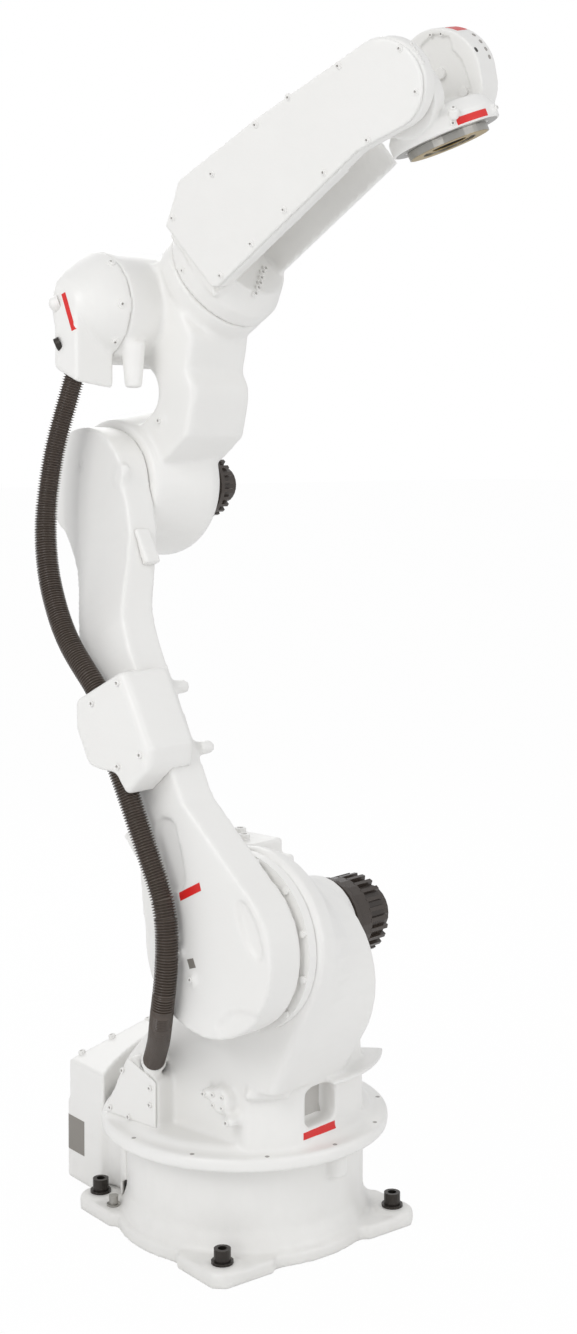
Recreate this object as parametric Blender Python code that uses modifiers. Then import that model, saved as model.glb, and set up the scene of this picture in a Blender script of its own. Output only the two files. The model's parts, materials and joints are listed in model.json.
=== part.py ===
"""Six-axis industrial robot arm, standing on its base plate.

Metres, +Z up, +X forward, origin on the turning axis at floor level.
The arm is modelled in its working pose: each joint has an empty on its
axis, and every piece is modelled in the frame of the joint that carries it.
"""
import math

import bmesh
import bpy
from mathutils import Matrix, Vector

# Arm lengths, from axis to axis
SHOULDER_FORWARD = 0.150
SHOULDER_HEIGHT = 0.505
LOWER_ARM_LENGTH = 0.760
ELBOW_RISE = 0.200
FOREARM_LENGTH = 0.795
TOOL_REACH = 0.104

# The working pose, in degrees
SWIVEL_TURN = 9.9
LOWER_ARM_LEAN = 27.45
FOREARM_CLIMB = 32.77
FOREARM_ROLL = 15.8
WRIST_BEND = 106.5

# Running gap at a joint face, and the gap between two fixed pieces
SEAM = 0.0006
SEAT = 0.0003
# How far a joined body reaches into its neighbour, and a cutter past a face
LAP = 0.004
OVERRUN = 0.010

# Base casting: a square plate with an ear at each corner, and a round drum
PLATE_SIDE = 0.400
PLATE_WAIST = 0.380
PLATE_EAR = 0.106
PLATE_THICK = 0.022
PLATE_CORNER = 0.028
FOOT_RADIUS = 0.208
DRUM_RADIUS = 0.190
DRUM_FOOT_RADIUS = 0.199
DRUM_FOOT_RISE = 0.030
DRUM_CHAMFER = 0.005
BOLT_SPACING = 0.336
BOLT_PAD_RADIUS = 0.028
BOLT_PAD_RISE = 0.004
FLANGE_UNDERSIDE = 0.156

# Anchor bolts and the earth bolt
BOLT_HEAD_RADIUS = 0.013
BOLT_HEAD_HEIGHT = 0.018
BOLT_WASHER_RADIUS = 0.017
BOLT_WASHER_THICK = 0.004
BOLT_SOCKET_RADIUS = 0.007
BOLT_SOCKET_DEPTH = 0.009
EARTH_BOLT_RADIUS = 0.0075
EARTH_BOLT_HEIGHT = 0.013
EARTH_WASHER_RADIUS = 0.011
EARTH_WASHER_THICK = 0.003
EARTH_BOLT_BACK = 0.117
EARTH_BOLT_OUT = 0.176

# Connector box behind the base
BOX_NEAR_FACE = 0.150
BOX_REAR = 0.306
BOX_LOWER_HEIGHT = 0.141
BOX_UPPER_REAR = 0.296
BOX_EAVES = 0.206
BOX_RIDGE = 0.245
BOX_UPPER_FRONT = 0.150
BOX_LOWER_FRONT = 0.095
BOX_SWING_RADIUS = 0.240
BOX_FOOT = 0.006
BOX_EDGE = 0.003
BOLT_POCKET_RADIUS = 0.034
PANEL_THICK = 0.004
PANEL_MARGIN = 0.016
PANEL_CORNER = 0.008
SOCKET_PLACES_SHARES = (("power_socket", -0.42, 0.55), ("signal_socket", 0.40, 0.55))
SOCKET_RADIUS = 0.026
SOCKET_FLANGE_RADIUS = 0.031
SOCKET_FLANGE_THICK = 0.004
SOCKET_LENGTH = 0.022
SOCKET_WALL = 0.004

# Swivel casting: a round flange, and a column whose outline changes from its
# near face to its far face
FLANGE_RADIUS = 0.230
FLANGE_THICK = 0.022
FLANGE_STEP_RADIUS = 0.208
FLANGE_STEP_RISE = 0.010
COLUMN_FOOT_RADIUS = 0.206
COLUMN_TRIM_TOP = 0.275
COLUMN_FRONT = 0.192
COLUMN_BACK = 0.165
COLUMN_SHELF = 0.262
COLUMN_BACK_SHARES = ((0.33, 1.30), (0.90, 0.90))
HEAD_RADIUS = 0.140
HEAD_EDGE = 0.012
SHOULDER_FACE = 0.150
HEAD_FAR_FACE = 0.088
BULGE_FORWARD = 0.131
BULGE_DROP = 0.078
BULGE_RADIUS = 0.143
NEAR_BLEND_SHARES = ((0.72, 0.12), (0.36, 0.72))
FAR_BLEND_SHARES = ((0.45, 0.62),)
MOTOR_BOSS_RADIUS = 0.076
MOTOR_FORWARD = 0.097
MOTOR_DROP = 0.028
WINDOW_OUT = 0.035
WINDOW_WIDTH = 0.068
WINDOW_LOW = 0.205
WINDOW_HEIGHT = 0.064
WINDOW_DEPTH = 0.030
WINDOW_CORNER = 0.014
STOP_PLATE_RADIUS = 0.222
STOP_PLATE_TOP = 0.276
STOP_PLATE_THICK = 0.008
STOP_PLATE_INNER = 0.150
STOP_PLATE_START = -9
STOP_PLATE_END = 40
LUG_FORWARD = 0.104
LUG_HEIGHT = 0.254
LUG_RADIUS = 0.021
LUG_REACH = 0.170

# Wiring box on the swivel, and the hole in its top that its hose comes out of
WIRING_NEAR = 0.190
WIRING_DEPTH = 0.090
WIRING_SPAN = 0.118
WIRING_FOOT = 0.172
WIRING_BACK = 0.128
WIRING_OUTLINE_SHARES = ((0, 0.0), (0, 0.16), (0.28, 0.65), (0.45, 0.97), (1.0, 0.76), (1.0, 0.0))
WIRING_PLATE_THICK = 0.004
HOSE_RADIUS = 0.016
HOSE_SPACE = 0.001
HOSE_SOCKET_DEPTH = 0.030

# Shoulder reducer between the swivel and the lower arm
REDUCER_RADIUS = 0.134
REDUCER_FACE = 0.166
REDUCER_BOLTS = 12
REDUCER_BOLT_CIRCLE = 0.1275
REDUCER_BOLT_RADIUS = 0.0055
REDUCER_BOLT_HEIGHT = 0.005

# Motors, each with a flange, a smooth band, a ring of fins and a cap. The sizes are
# its radius, the lengths of its band and its fins, then its cap's radius and length
SHOULDER_MOTOR = (0.064, 0.039, 0.040, 0.041, 0.041)
ELBOW_MOTOR = (0.053, 0.012, 0.020, 0.030, 0.040)
SWIVEL_MOTOR = (0.048, 0.045, 0.030, 0.034, 0.030)
MOTOR_FLANGE_LIP = 0.005
MOTOR_FLANGE_THICK = 0.010
MOTOR_FINS = 24
FIN_DEPTH = 0.007
FIN_OUTLINE_SHARES = (0.0, 0.5, 0.56, 0.94)
CAP_CHAMFER_SHARE = 0.3
ELBOW_MOTOR_FORWARD = 0.038
ELBOW_MOTOR_DROP = 0.030
SWIVEL_MOTOR_BACK = 0.050
SWIVEL_MOTOR_OUT = 0.142

# Stop block on top of the head
STOP_BLOCK_BACK = 0.035
STOP_BLOCK_FRONT = 0.130
STOP_BLOCK_STEP = 0.155
STOP_BLOCK_STEP_RISE = 0.112
STOP_BLOCK_RISE = 0.134
STOP_BLOCK_FOOT_RISE = 0.035
STOP_BLOCK_NEAR = 0.140
STOP_BLOCK_FAR = 0.052
STOP_EDGE = 0.003

# Lower arm
SHOULDER_DISC_RADIUS = 0.1285
SHOULDER_RING_RADIUS = 0.1206
SHOULDER_SEAM = 0.176
LOWER_ARM_THICK = 0.068
ELBOW_END_THICK = 0.060
WAIST_HALF_WIDTH = 0.057
WAIST_FOOT = 0.210
WAIST_DROP = 0.240
JOG_FOOT_DROP = 0.300
JOG_TOP_DROP = 0.070
JOG_SHARES = (0, 0.2, 0.4, 0.6, 0.8, 1)
ELBOW_DISC_RADIUS = 0.092
ELBOW_SEAM = 0.104
ARM_EDGE = 0.024
POCKET_DEPTH = 0.008
POCKET_WIDTH = 0.030
POCKET_CORNER = 0.0135
POCKET_FOOT = 0.108
POCKET_TOP = 0.222
POCKET_BACK = 0.010
POCKET_LEAN = 16

# Stop bar on the lower arm's front edge, below the elbow
STOP_BAR_DROP = 0.174
STOP_BAR_LENGTH = 0.059
STOP_BAR_WIDTH = 0.021
STOP_BAR_NEAR = 0.165
STOP_BAR_FAR = 0.135

# Hose clamp cover: a hood on the near side of the lower arm
HOOD_FACE = 0.298
HOOD_SPAN = 0.142
HOOD_FOOT = 0.246
HOOD_RISE = 0.170
HOOD_BACK = 0.060
HOOD_OUTLINE_SHARES = ((0.02, 0.76), (0.16, 1.0), (1.0, 1.0), (1.0, 0.26), (0.86, 0.09), (0.44, 0.0),
                       (0.38, 0.24), (0.18, 0.33), (0.02, 0.43))
HOOD_EDGE = 0.010
HOOD_SKIRT = 0.200
HOOD_SOCKET_DEPTH = 0.050

# Elbow housing
ELBOW_DRUM_RADIUS = 0.122
ELBOW_DRUM_NEAR_RADIUS = 0.105
ELBOW_FAR_FACE = 0.045
ELBOW_DRUM_EDGE = 0.034
ROLL_SEAM = 0.304
ROLL_RADIUS = 0.098
ROLL_COLLAR = 0.030
ROLL_NECK_RADIUS = 0.092
ROLL_NECK_LENGTH = 0.150
CABLE_DRUM_FORWARD = 0.170
CABLE_DRUM_RISE = 0.026
CABLE_DRUM_RADIUS = 0.090
CABLE_DRUM_FAR_FACE = 0.060
CABLE_SEAM = 0.160
NECK_NEAR_FACE = 0.090
NECK_BACK = 0.070
NECK_FRONT = 0.272
NECK_BACK_SHARES = ((-0.05, 0.27), (-0.05, -0.10))
NECK_FRONT_SHARES = ((0.22, -0.14), (0.52, -0.105), (0.73, 0.10), (0.79, 0.195), (0.80, 0.335), (0.92, 0.45),
                     (1.0, 0.54), (1.0, 1.25), (0.45, 1.40))
NOTCH_FORWARD = 0.120
NOTCH_HEIGHT = 0.098
NOTCH_RADIUS = 0.044
NECK_EDGE = 0.022
HANGER_FORWARD = 0.196
HANGER_TOP = 0.144
HANGER_RADIUS = 0.020
HANGER_TIP_RADIUS = 0.014
HANGER_LENGTH = 0.074
HANGER_OUT = 0.136

# Cable cover: a hood that narrows outwards, with a square mouth below for the hose.
# Each section gives shares of the reach, then of the drum's radius: back, front, height
COVER_REACH = 0.079
COVER_SECTION_SHARES = (
    (0, 1, 1, 1), (0.10, 0.93, 0.99, 0.96), (0.30, 0.74, 0.94, 0.86), (0.51, 0.56, 0.87, 0.74),
    (0.71, 0.37, 0.76, 0.61), (0.89, 0.20, 0.62, 0.47), (1.0, 0.07, 0.50, 0.31))
MOUTH_BACK = 0.005
MOUTH_FRONT = 0.048
MOUTH_BACK_DROP = 0.0985
MOUTH_FRONT_DROP = 0.1215
MOUTH_SLOPE_SHARE = 0.13
MOUTH_EDGE = 0.005
MOUTH_SOCKET_DEPTH = 0.050

# Forearm
BELT_ARM_FACE = 0.118
BELT_COVER_THICK = 0.006
BELT_ARM_THICK = 0.0295
BELT_ARM_ROOT = 0.359
BELT_ARM_UNDERSIDE = 0.045
BELT_ARM_EDGE = 0.004
BELT_COVER_EDGE = 0.002
BELT_CROWN = 0.123
BELT_TOP_SHARES = ((0.750, 0.837), (0.535, 1.0), (0.449, 0.707))
BELT_UNDERSIDE_SHARE = 0.88
WRIST_ROUND = 0.067
ROOT_REACH = 0.065
ROOT_FACE_RADIUS = 0.080
ROOT_RIM = 0.038
TROUGH_START = 0.335
TROUGH_SHORT = 0.145
TROUGH_WALL = 0.015
TROUGH_FAR_FACE = 0.062
TROUGH_CROWN = 0.078
TROUGH_SHOULDER = 0.050
TROUGH_EAVES = 0.057
TROUGH_CORNER = 0.020
TROUGH_RAIL = 0.050
TROUGH_LIP = 0.043

# Wrist
DOME_FACE = 0.104
DOME_RADIUS = 0.070
DOME_SIDE = 0.045
DOME_CAP_RADIUS = 0.058
DOME_CAP_THICK = 0.006
CHEEK_RADIUS = 0.048
CHEEK_ROOT_RADIUS = 0.055
CHEEK_FACE = 0.058
HOUSING_FOOT = 0.052
HOUSING_NECK_RADIUS = 0.070
HOUSING_SHOULDER = 0.072
TOOL_RADIUS = 0.083

# Tool flange: an outer ring that takes the tool, and a hollow hub inside it
TOOL_PLATE_THICK = 0.012
TOOL_PLATE_RADIUS = 0.062
HUB_RADIUS = 0.040
HUB_BORE = 0.025
HUB_SINK = 0.003

# Facets
SEGMENTS = 48
FINE_SEGMENTS = 56
MEDIUM_SEGMENTS = 24
SMALL_SEGMENTS = 16
BOLT_SEGMENTS = 8
LOFT_SEGMENTS = 56
MERGE = 0.00001
SHARP_ANGLE = 35

# Hose routes, chosen by hand, in the frame of the joint below each hose
LOWER_HOSE_ROUTE = (
    (-0.052, -0.158, 0.265), (-0.0232, -0.1792, 0.2952), (0.012, -0.205, 0.332), (0.053, -0.241, 0.370),
    (0.085, -0.268, 0.411), (0.094, -0.269, 0.465), (0.095, -0.268, 0.523), (0.087, -0.269, 0.575),
    (0.063, -0.271, 0.630), (0.036, -0.272, 0.685), (0.021, -0.272, 0.715), (-0.002, -0.272, 0.758),
    (-0.0115, -0.272, 0.776))
UPPER_HOSE_ROUTE = (
    (-0.004, -0.272, 0.398), (-0.012, -0.272, 0.432), (-0.020, -0.272, 0.457), (-0.034, -0.270, 0.499),
    (-0.043, -0.266, 0.541), (-0.046, -0.262, 0.579), (-0.046, -0.257, 0.618), (-0.040, -0.252, 0.658),
    (-0.030, -0.246, 0.697), (-0.016, -0.240, 0.733), (0.004, -0.235, 0.768), (0.029, -0.228, 0.808),
    (0.060, -0.222, 0.844), (0.083, -0.218, 0.868), (0.112, -0.213, 0.8985))

PALETTE = {
    "paint": ((0.80, 0.79, 0.76, 1.0), 0.42, 0.0),
    "black": ((0.030, 0.027, 0.025, 1.0), 0.45, 0.0),
    "steel": ((0.42, 0.42, 0.42, 1.0), 0.35, 1.0),
    "brass": ((0.46, 0.33, 0.10, 1.0), 0.35, 1.0),
    "rubber": ((0.055, 0.045, 0.040, 1.0), 0.55, 0.0),
}


def clear_scene():
    for old in list(bpy.data.objects):
        bpy.data.objects.remove(old, do_unlink=True)


def new_collection(name):
    collection = bpy.data.collections.new(name)
    bpy.context.scene.collection.children.link(collection)
    return collection


def make_material(name, look):
    colour, roughness, metallic = PALETTE[look]
    material = bpy.data.materials.new(name)
    material.use_nodes = True
    shader = material.node_tree.nodes["Principled BSDF"]
    shader.inputs["Base Color"].default_value = colour
    shader.inputs["Roughness"].default_value = roughness
    shader.inputs["Metallic"].default_value = metallic
    material.diffuse_color = colour
    return material


def add_empty(name, parent, location, axis, degrees):
    """An empty on a joint's axis, turned to the working pose."""
    empty = bpy.data.objects.new(name, None)
    robot.objects.link(empty)
    empty.empty_display_size = ELBOW_DISC_RADIUS
    empty.parent = parent
    turn = Matrix.Rotation(math.radians(degrees), 4, axis)
    empty.matrix_local = Matrix.Translation(location) @ turn
    return empty


def link_mesh(name, mesh):
    item = bpy.data.objects.new(name, mesh)
    robot.objects.link(item)
    return item


def baked(item):
    """Replace an object by a plain mesh of what its modifiers make."""
    depsgraph = bpy.context.evaluated_depsgraph_get()
    mesh = bpy.data.meshes.new_from_object(item.evaluated_get(depsgraph))
    work = bmesh.new()
    work.from_mesh(mesh)
    work.transform(item.matrix_world)
    bmesh.ops.remove_doubles(work, verts=work.verts, dist=MERGE)
    work.to_mesh(mesh)
    work.free()
    name = item.name
    bpy.data.objects.remove(item, do_unlink=True)
    return link_mesh(name, mesh)


def rounded(item, width, segments=2, angle=40):
    """Round the sharp edges of a piece."""
    bevel = item.modifiers.new("round", "BEVEL")
    bevel.width = width
    bevel.segments = segments
    bevel.limit_method = "ANGLE"
    bevel.angle_limit = math.radians(angle)
    bevel.use_clamp_overlap = True
    return baked(item)


def combine(item, other, operation):
    boolean = item.modifiers.new(operation.lower(), "BOOLEAN")
    boolean.operation = operation
    boolean.object = other
    boolean.solver = "EXACT"
    bpy.context.view_layer.update()
    result = baked(item)
    bpy.data.objects.remove(other, do_unlink=True)
    return result


def joined(item, *others):
    for other in others:
        item = combine(item, other, "UNION")
    return item


def cut(item, *cutters):
    for cutter in cutters:
        item = combine(item, cutter, "DIFFERENCE")
    return item


def adopt(item):
    """Move a new primitive into the robot's collection, its scale applied."""
    for collection in list(item.users_collection):
        collection.objects.unlink(item)
    robot.objects.link(item)
    bpy.context.view_layer.update()
    return baked(item)


def box(name, low, high, edge=None):
    """A box between two corners, with its edges rounded if a width is given."""
    size = [b - a for a, b in zip(low, high)]
    middle = [(a + b) / 2 for a, b in zip(low, high)]
    bpy.ops.mesh.primitive_cube_add(size=1, location=middle)
    item = bpy.context.object
    item.name = name
    item.scale = size
    item = adopt(item)
    if edge:
        item = rounded(item, edge)
    return item


def aim(axis):
    """The rotation that takes +Z to the named axis."""
    turns = {
        "X": Matrix.Rotation(math.radians(90), 4, "Y"),
        "-X": Matrix.Rotation(math.radians(-90), 4, "Y"),
        "Y": Matrix.Rotation(math.radians(-90), 4, "X"),
        "-Y": Matrix.Rotation(math.radians(90), 4, "X"),
        "Z": Matrix.Identity(4),
    }
    return turns[axis]


def along(start, end):
    """The placing that puts the origin at start and points +Z towards end."""
    direction = Vector(end) - Vector(start)
    return Matrix.Translation(start) @ direction.to_track_quat("Z", "Y").to_matrix().to_4x4()


def placed(item, matrix):
    item.data.transform(matrix)
    return item


def turned(name, profile, axis="Z", at=(0, 0, 0), steps=SEGMENTS):
    """A turned piece. The profile runs from top to bottom, as (radius, height)."""
    mesh = bpy.data.meshes.new(name)
    points = [(radius, 0, height) for radius, height in profile]
    mesh.from_pydata(points, [(i, i + 1) for i in range(len(points) - 1)], [])
    item = link_mesh(name, mesh)
    screw = item.modifiers.new("turn", "SCREW")
    screw.axis = "Z"
    screw.steps = steps
    screw.render_steps = steps
    screw.use_merge_vertices = True
    screw.merge_threshold = MERGE
    screw.use_smooth_shade = True
    bpy.context.view_layer.update()
    item = baked(item)
    return placed(item, Matrix.Translation(at) @ aim(axis))


def disc(name, radius, low, high, axis="Z", at=(0, 0, 0), edge=0, steps=SEGMENTS):
    """A round plate or boss along an axis, its top edge chamfered."""
    profile = [(0, high)]
    if edge:
        profile.append((radius - edge, high))
        profile.append((radius, high - edge))
    else:
        profile.append((radius, high))
    profile.append((radius, low))
    profile.append((0, low))
    return turned(name, profile, axis, at, steps)


def arc(centre, radius, start, end, steps):
    """Points along an arc, its angles in degrees."""
    points = []
    for i in range(steps + 1):
        angle = math.radians(start + (end - start) * i / steps)
        points.append((centre[0] + radius * math.cos(angle), centre[1] + radius * math.sin(angle)))
    return points


def rounded_outline(left, right, low, high, corner):
    """A rectangle's outline with round corners."""
    outline = []
    for x, z, start in ((right, high, 0), (left, high, 90), (left, low, 180), (right, low, 270)):
        inner = (x - corner if x == right else x + corner, z - corner if z == high else z + corner)
        outline += arc(inner, corner, start, start + 90, 3)
    return outline


def wrapped(circles, steps=SEGMENTS):
    """The outline of a band pulled round several circles (x, z, radius)."""
    cloud = []
    for x, z, radius in circles:
        cloud += arc((x, z), radius, 0, 360, steps)[:-1]
    cloud = sorted(set(cloud))

    def chain(points):
        line = []
        for point in points:
            while len(line) > 1 and turn_sign(line[-2], line[-1], point) <= 0:
                line.pop()
            line.append(point)
        return line[:-1]

    return chain(cloud) + chain(list(reversed(cloud)))


def turn_sign(a, b, c):
    return (b[0] - a[0]) * (c[1] - a[1]) - (b[1] - a[1]) * (c[0] - a[0])


def spread(shares, start, across, foot, up):
    """Outline points from shares of a width and a height."""
    return [(start + across * a, foot + up * b) for a, b in shares]


def plate(name, outline, low, high, plane="XZ", edge=None, segments=2):
    """A flat outline given thickness.

    Plane XZ is thick along Y, plane XY is thick along Z and plane YZ along X.
    """
    curve = bpy.data.curves.new(name, "CURVE")
    curve.dimensions = "2D"
    curve.fill_mode = "BOTH"
    curve.extrude = (high - low) / 2
    spline = curve.splines.new("POLY")
    spline.points.add(len(outline) - 1)
    for point, (a, b) in zip(spline.points, outline):
        point.co = (a, b, 0, 1)
    spline.use_cyclic_u = True
    item = bpy.data.objects.new(name, curve)
    robot.objects.link(item)
    bpy.context.view_layer.update()
    item = baked(item)
    middle = (low + high) / 2
    columns = {
        "XY": ((1, 0, 0), (0, 1, 0), (0, 0, 1)),
        "XZ": ((1, 0, 0), (0, 0, 1), (0, 1, 0)),
        "YZ": ((0, 1, 0), (0, 0, 1), (1, 0, 0)),
    }[plane]
    basis = Matrix([Vector(column) for column in columns]).transposed().to_4x4()
    placed(item, basis @ Matrix.Translation((0, 0, middle)))
    outward(item)
    if edge:
        item = rounded(item, edge, segments)
    return item


def outward(item):
    work = bmesh.new()
    work.from_mesh(item.data)
    bmesh.ops.recalc_face_normals(work, faces=work.faces)
    work.to_mesh(item.data)
    work.free()


def resampled(outline, centre, inset=0):
    """An outline as points at equal angles round a centre, drawn in by an inset."""
    points = []
    for i in range(LOFT_SEGMENTS):
        angle = 2 * math.pi * i / LOFT_SEGMENTS
        ray = (math.cos(angle), math.sin(angle))
        reach = 0
        for a, b in zip(outline, outline[1:] + outline[:1]):
            edge = (b[0] - a[0], b[1] - a[1])
            gap = (a[0] - centre[0], a[1] - centre[1])
            across = ray[0] * edge[1] - ray[1] * edge[0]
            if across == 0:
                continue
            far = (gap[0] * edge[1] - gap[1] * edge[0]) / across
            share = (gap[0] * ray[1] - gap[1] * ray[0]) / across
            if far > reach and 0 <= share <= 1:
                reach = far
        reach -= inset
        points.append((centre[0] + reach * ray[0], centre[1] + reach * ray[1]))
    return points


def mixed(first, second, share):
    return [(a[0] + (b[0] - a[0]) * share, a[1] + (b[1] - a[1]) * share) for a, b in zip(first, second)]


def loft(name, sections):
    """A skin over sections (level, points), each one lying across Y."""
    work = bmesh.new()
    rings = [[work.verts.new((x, level, z)) for x, z in points] for level, points in sections]
    for ring, following in zip(rings, rings[1:]):
        for i in range(len(ring)):
            k = (i + 1) % len(ring)
            work.faces.new((ring[i], ring[k], following[k], following[i]))
    work.faces.new(rings[0])
    work.faces.new(rings[-1])
    bmesh.ops.recalc_face_normals(work, faces=work.faces)
    mesh = bpy.data.meshes.new(name)
    work.to_mesh(mesh)
    work.free()
    return link_mesh(name, mesh)


def finish(item, name, parent, look):
    """Name a piece, give it its material and hang it on its joint's empty."""
    item.name = name
    item.data.name = name
    item.data.materials.clear()
    item.data.materials.append(make_material(name, look))
    item.data.shade_smooth()
    item.data.set_sharp_from_angle(angle=math.radians(SHARP_ANGLE))
    item.parent = parent
    return item


def smooth_route(points, steps):
    """A smooth curve through a hose's points."""
    knots = [Vector(p) for p in points]
    ends = [2 * knots[0] - knots[1]] + knots + [2 * knots[-1] - knots[-2]]
    route = []
    for i in range(1, len(ends) - 2):
        a, b, c, d = ends[i - 1:i + 3]
        for k in range(steps):
            t = k / steps
            route.append(0.5 * (2 * b + (c - a) * t + (2 * a - 5 * b + 4 * c - d) * t ** 2
                                + (3 * b - a - 3 * c + d) * t ** 3))
    route.append(knots[-1])
    return route


def build_hose(name, points, parent):
    curve = bpy.data.curves.new(name, "CURVE")
    curve.dimensions = "3D"
    curve.bevel_depth = HOSE_RADIUS
    curve.bevel_resolution = 2
    curve.use_fill_caps = True
    route = smooth_route(points, 2)
    spline = curve.splines.new("POLY")
    spline.points.add(len(route) - 1)
    for point, place in zip(spline.points, route):
        point.co = (*place, 1)
    item = bpy.data.objects.new(name, curve)
    robot.objects.link(item)
    bpy.context.view_layer.update()
    finish(baked(item), name, parent, "rubber")


def hose_space(end, inner, depth):
    """The hole that a hose's end goes into, from the hose's end outwards."""
    out = (Vector(inner) - Vector(end)).normalized()
    bottom = Vector(end) - out * SEAT
    space = disc("hose_space", HOSE_RADIUS + HOSE_SPACE, 0, depth, steps=SMALL_SEGMENTS)
    return placed(space, along(bottom, bottom + out))


# Base


def quarter_turns(points):
    """Points of one quarter of an outline, repeated round the four quarters."""
    outline = []
    for _ in range(4):
        outline += points
        points = [(-b, a) for a, b in points]
    return outline


def build_base():
    half = PLATE_SIDE / 2
    waist = PLATE_WAIST / 2
    ear = half - PLATE_EAR
    slope = half - waist
    corner = half - PLATE_CORNER
    quarter = [(waist, ear - slope), (half, ear)]
    quarter += arc((corner, corner), PLATE_CORNER, 0, 90, 5)
    quarter += [(ear, half), (ear - slope, waist)]
    base = plate("plate", quarter_turns(quarter), 0, PLATE_THICK, "XY")
    foot = disc("foot", FOOT_RADIUS, SEAT, PLATE_THICK - SEAT, steps=FINE_SEGMENTS)
    top = FLANGE_UNDERSIDE - SEAM
    drum = turned("drum", [
        (0, top), (DRUM_RADIUS - DRUM_CHAMFER, top), (DRUM_RADIUS, top - DRUM_CHAMFER),
        (DRUM_RADIUS, PLATE_THICK + DRUM_FOOT_RISE), (DRUM_FOOT_RADIUS, PLATE_THICK),
        (DRUM_FOOT_RADIUS, PLATE_THICK - LAP), (0, PLATE_THICK - LAP)], steps=FINE_SEGMENTS)
    base = joined(base, foot, drum)
    for x, y in bolt_places():
        pad = disc("pad", BOLT_PAD_RADIUS, PLATE_THICK - LAP, PLATE_THICK + BOLT_PAD_RISE,
                   at=(x, y, 0), edge=BOLT_PAD_RISE / 2, steps=MEDIUM_SEGMENTS)
        base = joined(base, pad)
    finish(base, "base_casting", base_frame, "paint")


def bolt_places():
    half = BOLT_SPACING / 2
    return [(-half, -half), (half, -half), (half, half), (-half, half)]


def build_anchor_bolts():
    seat = PLATE_THICK + BOLT_PAD_RISE + SEAT
    for number, (x, y) in enumerate(bolt_places(), 1):
        head_foot = seat + BOLT_WASHER_THICK
        top = head_foot + BOLT_HEAD_HEIGHT
        bolt = turned("bolt", [
            (0, top - BOLT_SOCKET_DEPTH), (BOLT_SOCKET_RADIUS, top - BOLT_SOCKET_DEPTH),
            (BOLT_SOCKET_RADIUS, top), (BOLT_HEAD_RADIUS, top), (BOLT_HEAD_RADIUS, head_foot),
            (BOLT_WASHER_RADIUS, head_foot), (BOLT_WASHER_RADIUS, seat), (0, seat)],
            at=(x, y, 0), steps=SMALL_SEGMENTS)
        finish(bolt, f"anchor_bolt_{number}", base_frame, "black")


def build_earth_bolt():
    seat = PLATE_THICK + SEAT
    washer = seat + EARTH_WASHER_THICK
    top = washer + EARTH_BOLT_HEIGHT
    bolt = turned("bolt", [
        (0, top), (EARTH_BOLT_RADIUS, top), (EARTH_BOLT_RADIUS, washer), (EARTH_WASHER_RADIUS, washer),
        (EARTH_WASHER_RADIUS, seat), (0, seat)],
        at=(-EARTH_BOLT_BACK, -EARTH_BOLT_OUT, 0), steps=SMALL_SEGMENTS)
    finish(bolt, "earth_bolt", base_frame, "steel")


def build_connector_box():
    rear = BOX_REAR - PANEL_THICK - SEAT
    lower = plate("lower", [
        (-BOX_NEAR_FACE, BOX_FOOT), (BOX_NEAR_FACE, BOX_FOOT), (BOX_NEAR_FACE, BOX_LOWER_HEIGHT),
        (-BOX_NEAR_FACE, BOX_LOWER_HEIGHT)], -rear, -BOX_LOWER_FRONT, "YZ", BOX_EDGE)
    upper = plate("upper", [
        (-BOX_NEAR_FACE, BOX_LOWER_HEIGHT - OVERRUN), (BOX_NEAR_FACE, BOX_LOWER_HEIGHT - OVERRUN),
        (BOX_NEAR_FACE, BOX_EAVES), (0, BOX_RIDGE), (-BOX_NEAR_FACE, BOX_EAVES)],
        -BOX_UPPER_REAR, -BOX_UPPER_FRONT, "YZ", BOX_EDGE)
    shell = joined(lower, upper)
    drum = disc("drum_space", DRUM_RADIUS + SEAT, -OVERRUN, FLANGE_UNDERSIDE + OVERRUN, steps=FINE_SEGMENTS)
    foot_top = PLATE_THICK + DRUM_FOOT_RISE
    foot = disc("foot_space", DRUM_FOOT_RADIUS + SEAT, -OVERRUN, foot_top, steps=FINE_SEGMENTS)
    sole = disc("sole_space", FOOT_RADIUS + SEAT, -OVERRUN, PLATE_THICK + SEAT, steps=FINE_SEGMENTS)
    half = PLATE_SIDE / 2
    under = box("plate_space", (-half - SEAT, -half - SEAT, -OVERRUN), (half, half, PLATE_THICK + SEAT))
    swing = disc("swing_space", BOX_SWING_RADIUS, BOX_LOWER_HEIGHT, BOX_RIDGE + OVERRUN, steps=FINE_SEGMENTS)
    shell = cut(shell, drum, foot, sole, under, swing)
    for x, y in bolt_places()[:1] + bolt_places()[3:]:
        pocket = disc("bolt_space", BOLT_POCKET_RADIUS, -OVERRUN, BOX_LOWER_HEIGHT + OVERRUN, at=(x, y, 0))
        shell = cut(shell, pocket)
    finish(shell, "connector_box", base_frame, "paint")


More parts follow.
